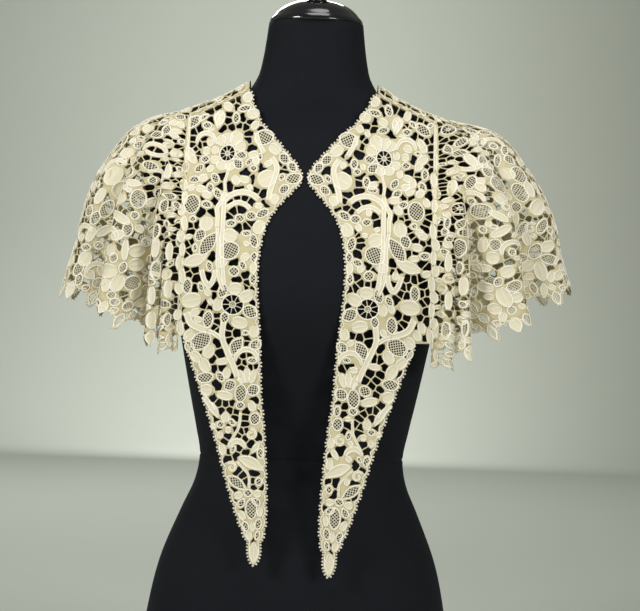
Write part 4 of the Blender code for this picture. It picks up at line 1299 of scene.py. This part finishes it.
# %% Front motifs
# turn is the way a motif points, in degrees: 0 is outward and 90 is up
FRONT_MOTIFS = (
    # kind, away, height, turn, length, width, bend, fill
    ("oval", 70, 639, 145, 11, 10, 0, "solid"),
    ("oval", 71, 628, 165, 14, 7.5, 0, "net"),
    ("oval", 61, 623, 160, 14, 11, 0, "solid"),
    ("petal", 97, 604, 92, 21, 11, 0, "solid"),
    ("petal", 95, 607, 66, 17, 7, 20, "solid"),
    ("petal", 100, 607, 116, 17, 7, -20, "solid"),
    ("oval", 126, 611, 150, 20, 11, 0, "net"),
    ("oval", 115, 616, 148, 12, 6, 0, "net"),
    ("oval", 109, 608, 5, 10, 8, 0, "net"),
    ("arc", 109, 590, 90, 10, 5, 210, "solid"),
    ("oval", 108, 581, 0, 9, 9, 0, "solid"),
    ("oval", 98.5, 582, 110, 9, 8, 0, "solid"),
    ("oval", 109, 572, 0, 9, 9, 0, "net"),
    ("oval", 85, 579, 120, 19, 18, 0, "wheel"),
    ("petal", 89.3, 586.4, 60, 13, 12, 0, "solid"),
    ("petal", 85.3, 587.5, 88, 14, 13, 0, "solid"),
    ("petal", 81, 586.5, 118, 19, 14, 0, "solid"),
    ("petal", 77.6, 583.3, 150, 14, 12, 0, "solid"),
    ("petal", 76.5, 578, 185, 13, 10, 0, "net"),
    ("petal", 78.7, 573.3, 225, 15, 11, 0, "net"),
    ("petal", 83, 570.8, 258, 12, 12, 0, "solid"),
    ("petal", 88.5, 571, 292, 12, 12, 0, "solid"),
    ("petal", 92.8, 574.8, 328, 12, 10, 0, "solid"),
    ("oval", 127, 579, 40, 14, 10, 0, "solid"),
    ("petal", 119, 566, 55, 13, 9, 0, "solid"),
    ("oval", 130, 563, 90, 12, 8, 0, "net"),
    ("oval", 57, 610, 120, 11, 8, 0, "solid"),
    ("oval", 46, 597, 160, 21, 17, 0, "net"),
    ("oval", 34, 585, 40, 15, 11, 0, "solid"),
    ("oval", 23, 575, 45, 13, 11, 0, "net"),
    ("oval", 14, 566, 50, 12, 10, 0, "net"),
    ("oval", 12, 553, 165, 18, 13, 0, "net"),
    ("oval", 41, 552, 150, 21, 19, 0, "solid"),
    ("oval", 56, 563, 0, 8, 8, 0, "net"),
    ("oval", 25, 554, 120, 8, 7, 0, "net"),
    ("oval", 22, 541, 135, 12, 10, 0, "net"),
    ("oval", 32, 530, 130, 12, 10, 0, "solid"),
    ("oval", 97, 551, 60, 12, 9, 0, "net"),
    ("oval", 121, 522, 100, 21, 18.2, 0, "net"),
    ("oval", 119, 506, 180, 7, 7.5, 0, "net"),
    ("oval", 104, 501, 100, 16, 14.5, 0, "solid"),
    ("oval", 110, 489, 120, 14, 11.8, 0, "net"),
    ("leaf", 110, 465, 124, 35, 15.0, 12, "net"),
    ("oval", 78, 489, 200, 17, 15.0, 0, "solid"),
    ("oval", 78, 473, 160, 22, 19.8, 0, "net"),
    ("oval", 86, 460, 160, 14, 10.7, 0, "solid"),
    ("oval", 68, 508, 180, 10, 9.1, 0, "net"),
    ("oval", 56, 511, 180, 11, 10.2, 0, "net"),
    ("oval", 44, 514, 150, 14, 9.6, 0, "net"),
    ("oval", 47, 499, 120, 16, 12.8, 0, "solid"),
    ("oval", 52, 484, 255, 15, 9.6, 0, "net"),
    ("oval", 72, 451, 180, 11, 11.2, 0, "net"),
    ("leaf", 129, 458, 160, 32, 12.8, -20, "solid"),
    ("oval", 83, 430, 110, 15, 10.7, 0, "net"),
    ("oval", 122, 434, 95, 16, 10.7, 0, "net"),
    ("oval", 117, 419, 170, 22, 16.1, 0, "solid"),
    ("oval", 72, 416, 180, 24, 23.5, 0, "wheel"),
    ("oval", 98, 399, 95, 18, 11.8, 0, "net"),
    ("oval", 80, 402, 100, 12, 9.6, 0, "net"),
    ("oval", 53, 409, 210, 16, 13.9, 0, "net"),
    ("oval", 64, 397, 190, 18, 12.8, 0, "solid"),
    ("oval", 58, 425, 150, 16, 12.8, 0, "solid"),
    ("oval", 70, 433, 180, 15, 12.8, 0, "solid"),
    ("oval", 88, 415, 100, 13, 10.7, 0, "solid"),
    ("oval", 105, 376, 145, 24, 18.2, 0, "net"),
    ("oval", 118, 381, 130, 14, 11.8, 0, "solid"),
    ("oval", 117, 369, 240, 13, 10.7, 0, "net"),
    ("oval", 110, 359, 220, 15, 10.7, 0, "solid"),
    ("oval", 96, 365, 120, 15, 11.8, 0, "solid"),
    ("leaf", 71, 361, 120, 24, 13.9, 30, "net"),
    ("oval", 46, 374, 135, 13, 11.8, 0, "net"),
    ("oval", 48, 388, 100, 13, 10.7, 0, "solid"),
    ("oval", 54, 341, 90, 16, 7.5, 0, "solid"),
    ("oval", 60, 339, 70, 15, 7.5, 0, "solid"),
    ("oval", 48, 340, 110, 15, 7.5, 0, "solid"),
    ("oval", 60, 322, 95, 19, 13.4, 0, "net"),
    ("oval", 47, 326, 140, 13, 12.8, 0, "net"),
    ("oval", 72, 330, 150, 13, 11.8, 0, "net"),
    ("oval", 77, 319, 190, 18, 9.6, 0, "solid"),
    ("oval", 60, 309, 180, 9, 9.1, 0, "net"),
    ("oval", 100, 350, 240, 17, 11.8, 0, "solid"),
    ("oval", 99, 337, 170, 18, 12.3, 0, "net"),
    ("oval", 97, 324, 180, 13, 12.8, 0, "solid"),
    ("oval", 81, 355, 170, 14, 7.0, 0, "solid"),
    ("arc", 55, 357, 90, 12, 5.4, -200, "solid"),
    ("petal", 82.5, 294, 53, 23, 8, -20, "solid"),
    ("oval", 44, 295.5, 90, 13, 12, 0, "net"),
    ("petal", 75.5, 302, 270, 12, 9, 0, "solid"),
    ("oval", 80.3, 288, 0, 8, 8, 0, "net"),
    ("petal", 84, 285, 10, 8, 6, 0, "solid"),
    ("petal", 79, 281, 290, 9, 7, 0, "solid"),
    ("oval", 72, 282.6, 0, 7, 7, 0, "solid"),
    ("arc", 62, 262, 90, 9, 6, 170, "solid"),
    ("spiral", 47.5, 279, 80, 6, 3, 430, "solid"),
    ("leaf", 38, 272, -55, 17, 6, 20, "solid"),
    ("leaf", 61, 254, 205, 33, 12, 20, "solid"),
    ("spiral", 67, 243, 20, 6, 2.8, 430, "solid"),
    ("leaf", 72, 234, 215, 27, 11, 10, "net"),
    ("oval", 37.5, 229, 90, 9, 8, 0, "net"),
    ("oval", 48.5, 216.5, 0, 9, 9, 0, "net"),
    ("petal", 53, 215, -15, 11, 8, 0, "solid"),
    ("petal", 52, 211, 300, 12, 8, 0, "net"),
    ("petal", 44, 216, 180, 10, 8, 0, "solid"),
    ("petal", 45, 211, 212, 12, 8, 0, "net"),
    ("oval", 44.5, 199.7, 88, 22, 13, 0, "net"),
    ("oval", 54, 192, 60, 11, 7, 0, "solid"),
    ("oval", 35, 197, 100, 11, 6, 0, "solid"),
    ("oval", 50, 181, 70, 11, 8, 0, "net"),
    ("oval", 36.5, 184, 100, 12, 8, 0, "net"),
    ("leaf", 42.5, 187, 270, 13, 6, 0, "solid"),
    ("oval", 46, 171, 80, 10, 7, 0, "solid"),
    ("oval", 37, 172, 100, 10, 6, 0, "net"),
    ("leaf", 40.3, 165, 270, 24, 10, 0, "solid"),
)
FRONT_STEMS = (
    # width, then its places as (away, height)
    (5.9, ((88, 524), (80, 532), (71, 536), (62, 536), (54, 533), (49, 529))),
    (5.1, ((83, 518), (78, 522), (71, 525), (63, 523), (57, 518))),
    (4.8, ((85, 536), (88, 527), (93, 518), (92, 509), (92, 497))),
    (5.9, ((81, 397), (82, 381), (77, 368), (69, 351), (64, 339))),
    (4.5, ((98, 387), (92, 385), (84, 380))),
    (7.0, ((122, 406), (116, 394), (108, 390), (98, 387))),
    (4.9, ((86, 528), (85, 461), (82, 436))),
    (5.4, ((107, 452), (104, 442), (99, 435), (93, 444), (92, 452))),
    (5.9, ((100, 317), (94, 310), (88, 301))),
    (2.6, ((59.4, 301.2), (61.5, 284.1), (66, 276), (70, 268))),
    (2.6, ((61, 249), (54, 242), (49.2, 236.7), (47.5, 221))),
    (5.0, ((55, 602), (50, 588), (45, 580))),
    (6.0, ((37, 576), (31, 566), (33, 552), (37, 538), (38, 528))),
    (4.0, ((92, 497), (90, 480), (90, 462), (88, 445), (82, 430))),
    (3.0, ((82, 568), (84, 556), (86, 548), (85, 536))),
    (3.0, ((109, 600), (106, 603), (100, 604))),
    (3.4, ((64, 338), (60, 334), (60, 330))),
)


def front_panel(side):
    """One front with its motifs and stems."""
    free, rest = front_outline(side)
    panel = new_panel(free, rest, [rest])
    for kind, away, height, turn, length, width, bend, fill in FRONT_MOTIFS:
        line, half = DRAWN[kind](away, height, turn, length, width, bend)
        flat = front_flat(side, line)
        way = math.radians(turn if side > 0 else 180.0 - turn)
        add_motif(panel, flat, half, fill, way)
    for width, places in FRONT_STEMS:
        line, half = stem(places, width)
        add_motif(panel, front_flat(side, line), half)
    return panel


# %% [markdown]
# ## The capes and the back
# What shows of the capes has closer and smaller ovals and leaves. They come from a table for each side,
# whose places, turns and sizes were read from the photograph too. The back, the hems and what is
# hidden of the capes are filled by rule: a group along each hem, staggered repeats of one group, each
# turned a little, and small ovals in the room that is left.

# %% Repeats
REPEAT_PITCH = 52.0
FILLER_PITCH = 11.0
FILLER_LEAST = 3.0
FILLER_MOST = 5.0
EDGE_ROOM = 3.0
# Shares of a motif's own half width that stay free between its middle and the motifs drawn before it
MOTIF_ROOM = 0.85    # in a repeat
TABLE_ROOM = 0.3     # in a table or a hem
REPEAT = (
    # kind, across, up, turn, length, width, bend, fill
    ("oval", 0, 0, 0, 17, 17, 0, "wheel"),
    ("petal", 9, 2, 15, 15, 12, 0, "solid"),
    ("petal", 4, 8, 70, 15, 12, 0, "solid"),
    ("petal", -5, 8, 128, 15, 12, 0, "net"),
    ("petal", -9, -1, 186, 15, 12, 0, "solid"),
    ("petal", -4, -8, 243, 15, 12, 0, "solid"),
    ("petal", 5, -8, 304, 15, 12, 0, "net"),
    ("arc", 25, 2, 60, 11, 6, 190, "solid"),
    ("oval", 24, 1, 70, 9, 9, 0, "net"),
    ("leaf", 19, -13, -50, 21, 10, 30, "solid"),
    ("leaf", -15, 19, 60, 20, 9, -30, "net"),
    ("spiral", 22, 21, 30, 7, 3.2, 430, "solid"),
    ("oval", 3, 27, 20, 15, 11, 0, "net"),
)
CAPE_MOTIFS = {
    # kind, across, -along, turn, length, width, bend, fill
    -1: (
        ("arc", -70, -136, 223, 11, 6, 150, "solid"),
        ("oval", -87, -160, 97, 12, 17, 0, "net"),
        ("oval", -81, -166, 134, 11, 15, 0, "solid"),
        ("oval", -107, -150, 44, 26, 6, 0, "solid"),
        ("oval", -103, -174, 140, 8, 12, 0, "net"),
        ("oval", -147, -190, 51, 21, 8, 0, "net"),
        ("oval", -49, -150, 89, 12, 12, 0, "net"),
        ("oval", -47, -166, 103, 15, 15, 0, "solid"),
        ("oval", -50, -178, 90, 10, 11, 0, "net"),
        ("oval", -54, -198, 84, 25, 21, 0, "solid"),
        ("oval", -71, -210, 109, 24, 22, 0, "solid"),
        ("oval", -65, -238, 103, 23, 15, 0, "net"),
        ("oval", -109, -202, 56, 25, 16, 0, "net"),
        ("oval", -116, -196, 60, 19, 8, 0, "solid"),
        ("oval", -118, -222, 150, 8, 11, 0, "net"),
        ("oval", -120, -240, 71, 18, 11, 0, "net"),
        ("oval", -107, -232, 185, 25, 11, 0, "solid"),
        ("oval", -167, -222, 56, 22, 7, 0, "net"),
        ("oval", -67, -282, 165, 10, 10, 0, "net"),
        ("oval", -114, -272, 98, 14, 12, 0, "solid"),
        ("oval", -114, -252, 129, 17, 11, 0, "solid"),
        ("oval", -69, -264, 134, 21, 10, 0, "solid"),
        ("oval", -121, -296, 148, 24, 18, 0, "solid"),
        ("oval", -121, -278, 76, 12, 10, 0, "net"),
        ("oval", -128, -264, 72, 26, 7, 0, "solid"),
        ("oval", -140, -260, 150, 19, 16, 0, "solid"),
        ("oval", -146, -276, 163, 18, 16, 0, "solid"),
        ("oval", -134, -284, 83, 14, 9, 0, "net"),
        ("oval", -138, -304, 82, 22, 14, 0, "solid"),
        ("oval", -152, -298, 139, 18, 20, 0, "net"),
        ("oval", -129, -312, 69, 17, 10, 0, "solid"),
        ("oval", -140, -320, 152, 9, 11, 0, "net"),
        ("oval", -147, -326, 154, 10, 11, 0, "net"),
        ("leaf", -140, -328, 270, 19, 10, 0, "solid"),
        ("oval", -57, -302, 99, 19, 15, 0, "solid"),
        ("oval", -54, -316, 100, 18, 12, 0, "net"),
        ("leaf", -53, -332, 271, 23, 11, 0, "solid"),
        ("oval", -54, -288, 162, 11, 9, 0, "net"),
        ("oval", -56, -272, 106, 19, 10, 0, "solid"),
        ("oval", -56, -252, 102, 17, 11, 0, "net"),
        ("oval", -52, -226, 95, 21, 11, 0, "solid"),
        ("oval", -242, -322, 49, 26, 8, 0, "solid"),
        ("leaf", -250, -332, 229, 26, 8, 0, "solid"),
        ("oval", -262, -310, 49, 20, 8, 0, "net"),
        ("leaf", -277, -322, 226, 26, 9, 0, "solid"),
        ("oval", -181, -240, 56, 26, 6, 0, "solid"),
        ("oval", -200, -264, 57, 26, 10, 0, "net"),
        ("oval", -218, -294, 52, 26, 5, 0, "solid"),
        ("oval", -199, -234, 51, 26, 6, 0, "solid"),
        ("oval", -232, -276, 52, 26, 7, 0, "solid"),
        ("oval", -196, -214, 53, 18, 9, 0, "net"),
        ("oval", -218, -238, 52, 23, 9, 0, "solid"),
    ),
    1: (
        ("arc", -81, -140, 221, 12, 7, 170, "solid"),
        ("oval", -77, -140, 242, 23, 9, 0, "solid"),
        ("oval", -103, -164, 34, 21, 11, 0, "net"),
        ("oval", -101, -174, 255, 14, 9, 0, "solid"),
        ("oval", -95, -168, 320, 9, 10, 0, "solid"),
        ("oval", -72, -150, 229, 20, 10, 0, "net"),
        ("oval", -79, -162, 236, 19, 12, 0, "net"),
        ("oval", -46, -132, 16, 18, 10, 0, "net"),
        ("oval", -54, -162, 41, 19, 8, 0, "net"),
        ("oval", -81, -184, 285, 26, 22, 0, "net"),
        ("oval", -57, -180, 266, 16, 17, 0, "solid"),
        ("oval", -46, -186, 254, 22, 18, 0, "net"),
        ("oval", -59, -206, 261, 25, 18, 0, "net"),
        ("oval", -47, -206, 259, 22, 12, 0, "solid"),
        ("oval", -72, -222, 339, 12, 15, 0, "net"),
        ("oval", -49, -230, 32, 23, 18, 0, "solid"),
        ("oval", -61, -228, 278, 20, 7, 0, "solid"),
        ("oval", -95, -198, 279, 17, 14, 0, "solid"),
        ("oval", -111, -214, 293, 24, 9, 0, "solid"),
        ("oval", -80, -236, 63, 20, 11, 0, "solid"),
        ("oval", -122, -200, 359, 22, 21, 0, "net"),
        ("oval", -134, -222, 338, 8, 11, 0, "net"),
        ("oval", -170, -188, 39, 18, 6, 0, "net"),
        ("oval", -125, -154, 35, 26, 9, 0, "solid"),
        ("oval", -119, -232, 4, 25, 11, 0, "solid"),
        ("oval", -76, -252, 47, 22, 12, 0, "net"),
        ("oval", -185, -224, 47, 26, 13, 0, "net"),
        ("oval", -132, -244, 335, 12, 16, 0, "net"),
        ("oval", -144, -240, 55, 19, 12, 0, "solid"),
        ("oval", -141, -258, 340, 14, 16, 0, "solid"),
        ("oval", -128, -254, 356, 14, 14, 0, "solid"),
        ("oval", -158, -266, 338, 23, 11, 0, "solid"),
        ("oval", -202, -246, 49, 17, 8, 0, "net"),
        ("oval", -147, -288, 44, 12, 10, 0, "net"),
        ("oval", -149, -308, 265, 26, 16, 0, "solid"),
        ("oval", -134, -300, 348, 17, 15, 0, "net"),
        ("oval", -134, -280, 357, 16, 15, 0, "solid"),
        ("oval", -138, -314, 353, 13, 14, 0, "solid"),
        ("oval", -150, -326, 332, 9, 12, 0, "net"),
        ("leaf", -154, -334, 264, 22, 13, 0, "solid"),
        ("oval", -145, -328, 37, 12, 9, 0, "net"),
        ("oval", -162, -330, 55, 13, 9, 0, "solid"),
        ("oval", -165, -318, 7, 15, 15, 0, "solid"),
        ("oval", -163, -290, 335, 20, 13, 0, "solid"),
        ("oval", -229, -288, 334, 7, 10, 0, "net"),
        ("oval", -68, -282, 62, 20, 16, 0, "net"),
        ("oval", -79, -298, 32, 16, 14, 0, "solid"),
        ("oval", -67, -308, 271, 26, 14, 0, "solid"),
        ("oval", -54, -296, 328, 23, 13, 0, "net"),
        ("oval", -53, -280, 1, 18, 14, 0, "solid"),
        ("oval", -74, -264, 273, 19, 10, 0, "solid"),
        ("oval", -64, -270, 265, 15, 11, 0, "solid"),
        ("oval", -53, -254, 40, 20, 13, 0, "net"),
        ("leaf", -68, -322, 257, 24, 8, 0, "solid"),
        ("oval", -58, -318, 63, 15, 9, 0, "solid"),
        ("oval", -200, -336, 357, 18, 13, 0, "net"),
        ("oval", -248, -316, 48, 26, 6, 0, "net"),
        ("oval", -258, -330, 268, 10, 9, 0, "solid"),
        ("leaf", -261, -336, 230, 26, 8, 0, "solid"),
        ("oval", -267, -334, 42, 14, 7, 0, "solid"),
        ("oval", -283, -296, 46, 25, 11, 0, "solid"),
        ("oval", -273, -306, 46, 26, 9, 0, "net"),
        ("leaf", -301, -318, 228, 26, 6, 0, "solid"),
        ("oval", -244, -274, 51, 26, 6, 0, "solid"),
        ("oval", -214, -268, 53, 26, 8, 0, "solid"),
        ("oval", -226, -292, 52, 26, 10, 0, "net"),
        ("oval", -210, -232, 49, 26, 6, 0, "solid"),
    ),
}
HEM_GROUP = (
    # share of the repeat, reach past the hem's line, kind, turn, length, width, fill
    (0.5, -1, "leaf", 0, 21, 11, "net"),
    (0.5, -10, "oval", 0, 13, 13, "net"),
    (0.5, -18, "petal", 180, 16, 13, "solid"),
    (0.62, -13, "petal", 125, 15, 12, "solid"),
    (0.38, -13, "petal", -125, 15, 12, "solid"),
    (0.66, -4, "petal", 50, 10, 9, "net"),
    (0.34, -4, "petal", -50, 10, 9, "net"),
    (0.13, 0, "oval", 90, 9, 7, "solid"),
    (0.87, 0, "oval", 90, 9, 7, "solid"),
    (0.0, -9, "oval", 0, 15, 9, "net"),
    (0.0, -25, "oval", 90, 12, 10, "solid"),
)


def room_left(panel, line):
    """The distance from a motif's middle to the nearest motif that is already on the panel."""
    taken = np.concatenate(panel["marks"]) if panel["marks"] else np.full((1, 3), 1e6)
    return (np.hypot(*(taken[:, :2] - line[len(line) // 2]).T) - taken[:, 2]).min()


def repeated(panel, seed):
    """Staggered repeats of one group of motifs, each turned a little; a motif that would cross the edge
    is left out."""
    outline = panel["outline"]
    draw = np.random.default_rng(seed)
    edge = spaced(np.concatenate([outline, outline[:1]]), 2.0)
    for x, y in staggered(outline, REPEAT_PITCH, 0.05, seed):
        tip = draw.uniform(-35.0, 35.0)
        c, s = math.cos(math.radians(tip)), math.sin(math.radians(tip))
        for kind, across, up, turn, length, width, bend, fill in REPEAT:
            line, half = DRAWN[kind](across, up, turn, length, width, bend)
            line = line @ np.array([(c, s), (-s, c)]) + (x, y)
            gap = np.sqrt(((line[:, None] - edge) ** 2).sum(axis=2)).min(axis=1) - half
            within = gap.min() > EDGE_ROOM and inside(line, outline).all()
            if within and room_left(panel, line) > MOTIF_ROOM * half.max():
                add_motif(panel, line, half, fill, math.radians(turn + tip))


def drawn_motifs(panel, rows):
    """A table's motifs, without those whose middle an earlier one covers."""
    for kind, across, up, turn, length, width, bend, fill in rows:
        line, half = DRAWN[kind](across, up, turn, length, width, bend)
        if room_left(panel, line) > TABLE_ROOM * half.max():
            add_motif(panel, line, half, fill, math.radians(turn))


def fillers(panel, seed):
    """Small ovals where no motif is near: each as large as the room about its middle allows."""
    field, low = clearance_field(panel["outline"], panel["marks"])
    draw = np.random.default_rng(seed)
    for number, place in enumerate(staggered(panel["outline"], FILLER_PITCH, 0.3, seed)):
        cell = ((place - low) / FIELD_STEP + 0.5).astype(int)
        room = min(field[cell[0], cell[1]], FILLER_MOST)
        if room > FILLER_LEAST:
            turn = draw.uniform(0.0, 180.0)
            line, half = oval(*place, turn, room * 2.3, room * 1.7)
            add_motif(panel, line, half, ("solid", "net", "solid")[number % 3], math.radians(turn))


def hem_row(panel, start, end, way):
    """Each repeat of a hem has a leaf in its tip, a ring with petals above it, and a petal in each lobe.
    way is the direction that the tips point in."""
    count = max(1, round(np.hypot(*np.subtract(end, start)) / LEAF_TIP_PITCH))
    along = np.subtract(end, start) / count
    way = np.array(way, float)
    turn = math.degrees(math.atan2(way[1], way[0]))
    for number in range(count):
        for share, reach, kind, tip, length, width, fill in HEM_GROUP:
            place = start + along * (number + share) + way * reach
            line, half = DRAWN[kind](*place, turn + tip, length, width)
            if room_left(panel, line) > TABLE_ROOM * half.max():
                add_motif(panel, line, half, fill, math.radians(turn + tip))


# %% [markdown]
# ## Edges
# Every free edge has a cord with a row of picots, tiny pointed loops of thread, and small ovals fill the
# scallops. A flat tape covers the top of each upright seam. Below it, ovals of tape cross the seam, and a
# thin thread sways from side to side along it as sewing.

# %% Edge tapes and picots
PICOT_PITCH = 3.4
PICOT_RISE = 2.5
PICOT_SIDE = 0.75
PICOT_HALF = 0.55
SEAM_TAPE_HALF = 2.1
SEAM_TAPE_FROM_Z = 568.0
SEAM_CORD_HALF = 0.6
SEAM_CORD_SWAY = 1.1
SEAM_OVAL_PITCH = 14.0
SEAM_OVALS = (
    # aside, turn, length, width
    (-1.5, 97.0, 17.0, 7.5),
    (2.0, 84.0, 12.0, 8.5),
    (-0.5, 90.0, 15.0, 6.5),
    (1.5, 104.0, 13.0, 9.0),
)
LOBE_LENGTH = 11.5
LOBE_WIDTH = 8.0
LOBE_IN = 4.2


def outward(path, outline):
    """Unit directions that point out of the outline, across a path on its edge."""
    step = np.gradient(path, axis=0)
    out = np.stack([step[:, 1], -step[:, 0]], axis=1) / np.hypot(*step.T)[:, None]
    return -out if inside(path + out * 1.5, outline).mean() > 0.5 else out


def lobe_row(panel, pitch):
    """Small ovals along the free edge, net and solid in turn, where no motif is in the way."""
    marks = spaced(panel["free"], pitch / 2)[1:-1:2]
    out = outward(marks, panel["outline"])
    taken = np.concatenate(panel["marks"])
    for number, (place, away) in enumerate(zip(marks, out)):
        middle = place - away * LOBE_IN
        if (np.hypot(*(taken[:, :2] - middle).T) - taken[:, 2]).min() < LOBE_WIDTH / 2 - 0.3:
            continue
        if not inside(middle[None], panel["outline"])[0]:
            continue
        way = math.degrees(math.atan2(away[0], -away[1]))
        line, half = oval(*middle, way, LOBE_LENGTH, LOBE_WIDTH)
        add_motif(panel, line, half, "solid" if number % 2 else "net", math.radians(way))


def seam_ovals(panel, side):
    """Ovals of tape that cross the upright seam below its tape, where no motif is in the way."""
    heights = np.arange(SEAM_FOOT_Z + 8.0, SEAM_TAPE_FROM_Z, SEAM_OVAL_PITCH)
    for number, height in enumerate(heights):
        aside, turn, length, width = SEAM_OVALS[number % len(SEAM_OVALS)]
        line, half = oval(side * (SEAM_X + aside), height, turn, length, width)
        if room_left(panel, line) > 0.0:
            add_motif(panel, line, half)


def edged(panel):
    """A cord just inside the free edge, picots just outside it, and the seams' cord and tape."""
    free = spaced(panel["free"], 1.6)
    swept(panel["tapes"], free - outward(free, panel["outline"]) * EDGE_HALF, EDGE_HALF * 0.7, CORD)
    marks = spaced(panel["free"], PICOT_PITCH)
    turn = np.linspace(0.0, math.pi, 5)
    for place, away in zip(marks, outward(marks, panel["outline"])):
        side = np.array([-away[1], away[0]])
        loop = np.cos(turn)[:, None] * side * PICOT_SIDE + np.sin(turn)[:, None] * away * PICOT_RISE
        swept(panel["threads"], place - away * 0.4 + loop, PICOT_HALF, THREAD, lift=0.2)
    for path in panel["seams"]:
        seam = spaced(path, 4.0)
        seam = seam + outward(seam, panel["outline"]) * SEAM_HALF_GAP
        taped = (np.abs(seam[:, 0]) > SEAM_X - 1.0) & (seam[:, 1] > SEAM_TAPE_FROM_Z)
        swept(panel["tapes"], seam[taped], SEAM_TAPE_HALF, TAPE)
        sway = SEAM_CORD_SWAY * np.sin(np.arange(len(seam)) * 1.9)[:, None]
        swept(panel["threads"], seam + sway * outward(seam, panel["outline"]), SEAM_CORD_HALF, CORD)


# %% Lay every panel
def dress(label, chart, panel, seed):
    """Edges, gaps, cloth, tapes and threads of one panel; its counts and flat area are printed."""
    edged(panel)
    gaps = gap_cells(panel["outline"], panel["marks"], seed)
    thing, area = cloth("lace_" + label, chart, panel, gaps, CLOTH_IVORY_PAINTED_SHADE)
    tapes = laid("tapes_" + label, chart, panel["tapes"], CORD_IVORY_PAINTED_HIGHLIGHT)
    threads = laid("threads_" + label, chart, panel["threads"], NET_IVORY)
    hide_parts(label)
    meshes = [piece.data for piece in (thing, tapes, threads)]
    counts = [sum(len(face.vertices) - 2 for face in mesh.polygons) for mesh in meshes]
    print(label, "gaps", len(gaps), "holes", len(panel["holes"]), "triangles", counts, "area", round(area, 4))


CHART_MARGIN = 12.0


def chart_over(place, outline):
    """A flat chart that reaches a little past an outline."""
    return flat_chart(place, outline.min(axis=0) - CHART_MARGIN, outline.max(axis=0) + CHART_MARGIN)


for side, label in ((-1, "left"), (1, "right")):
    panel = front_panel(side)
    seam_ovals(panel, side)
    lobe_row(panel, SCALLOP_PITCH)
    fillers(panel, 61)
    chart = chart_over(front_place, panel["outline"])
    dress("front_" + label, chart, panel, 11 + side)

    chart, pattern = cape_chart(side)
    hem, rest = cape_outline(pattern)
    panel = new_panel(hem, rest, [])
    drawn_motifs(panel, CAPE_MOTIFS[side])
    hem_row(panel, hem[0], hem[-1], (0.0, -1.0))
    repeated(panel, 31 + side)
    fillers(panel, 62)
    dress("shoulder_" + label, chart, panel, 21 + side)

hem, rest = back_outline()
seam_points = (len(rest) - NECK_POINTS) // 2
panel = new_panel(hem, rest, [rest[:seam_points], rest[-seam_points:]])
hem_row(panel, hem[0], hem[-1], (0.0, -1.0))
repeated(panel, 41)
fillers(panel, 63)
chart = chart_over(back_place, panel["outline"])
dress("back", chart, panel, 51)

# %% Finish
print("done")
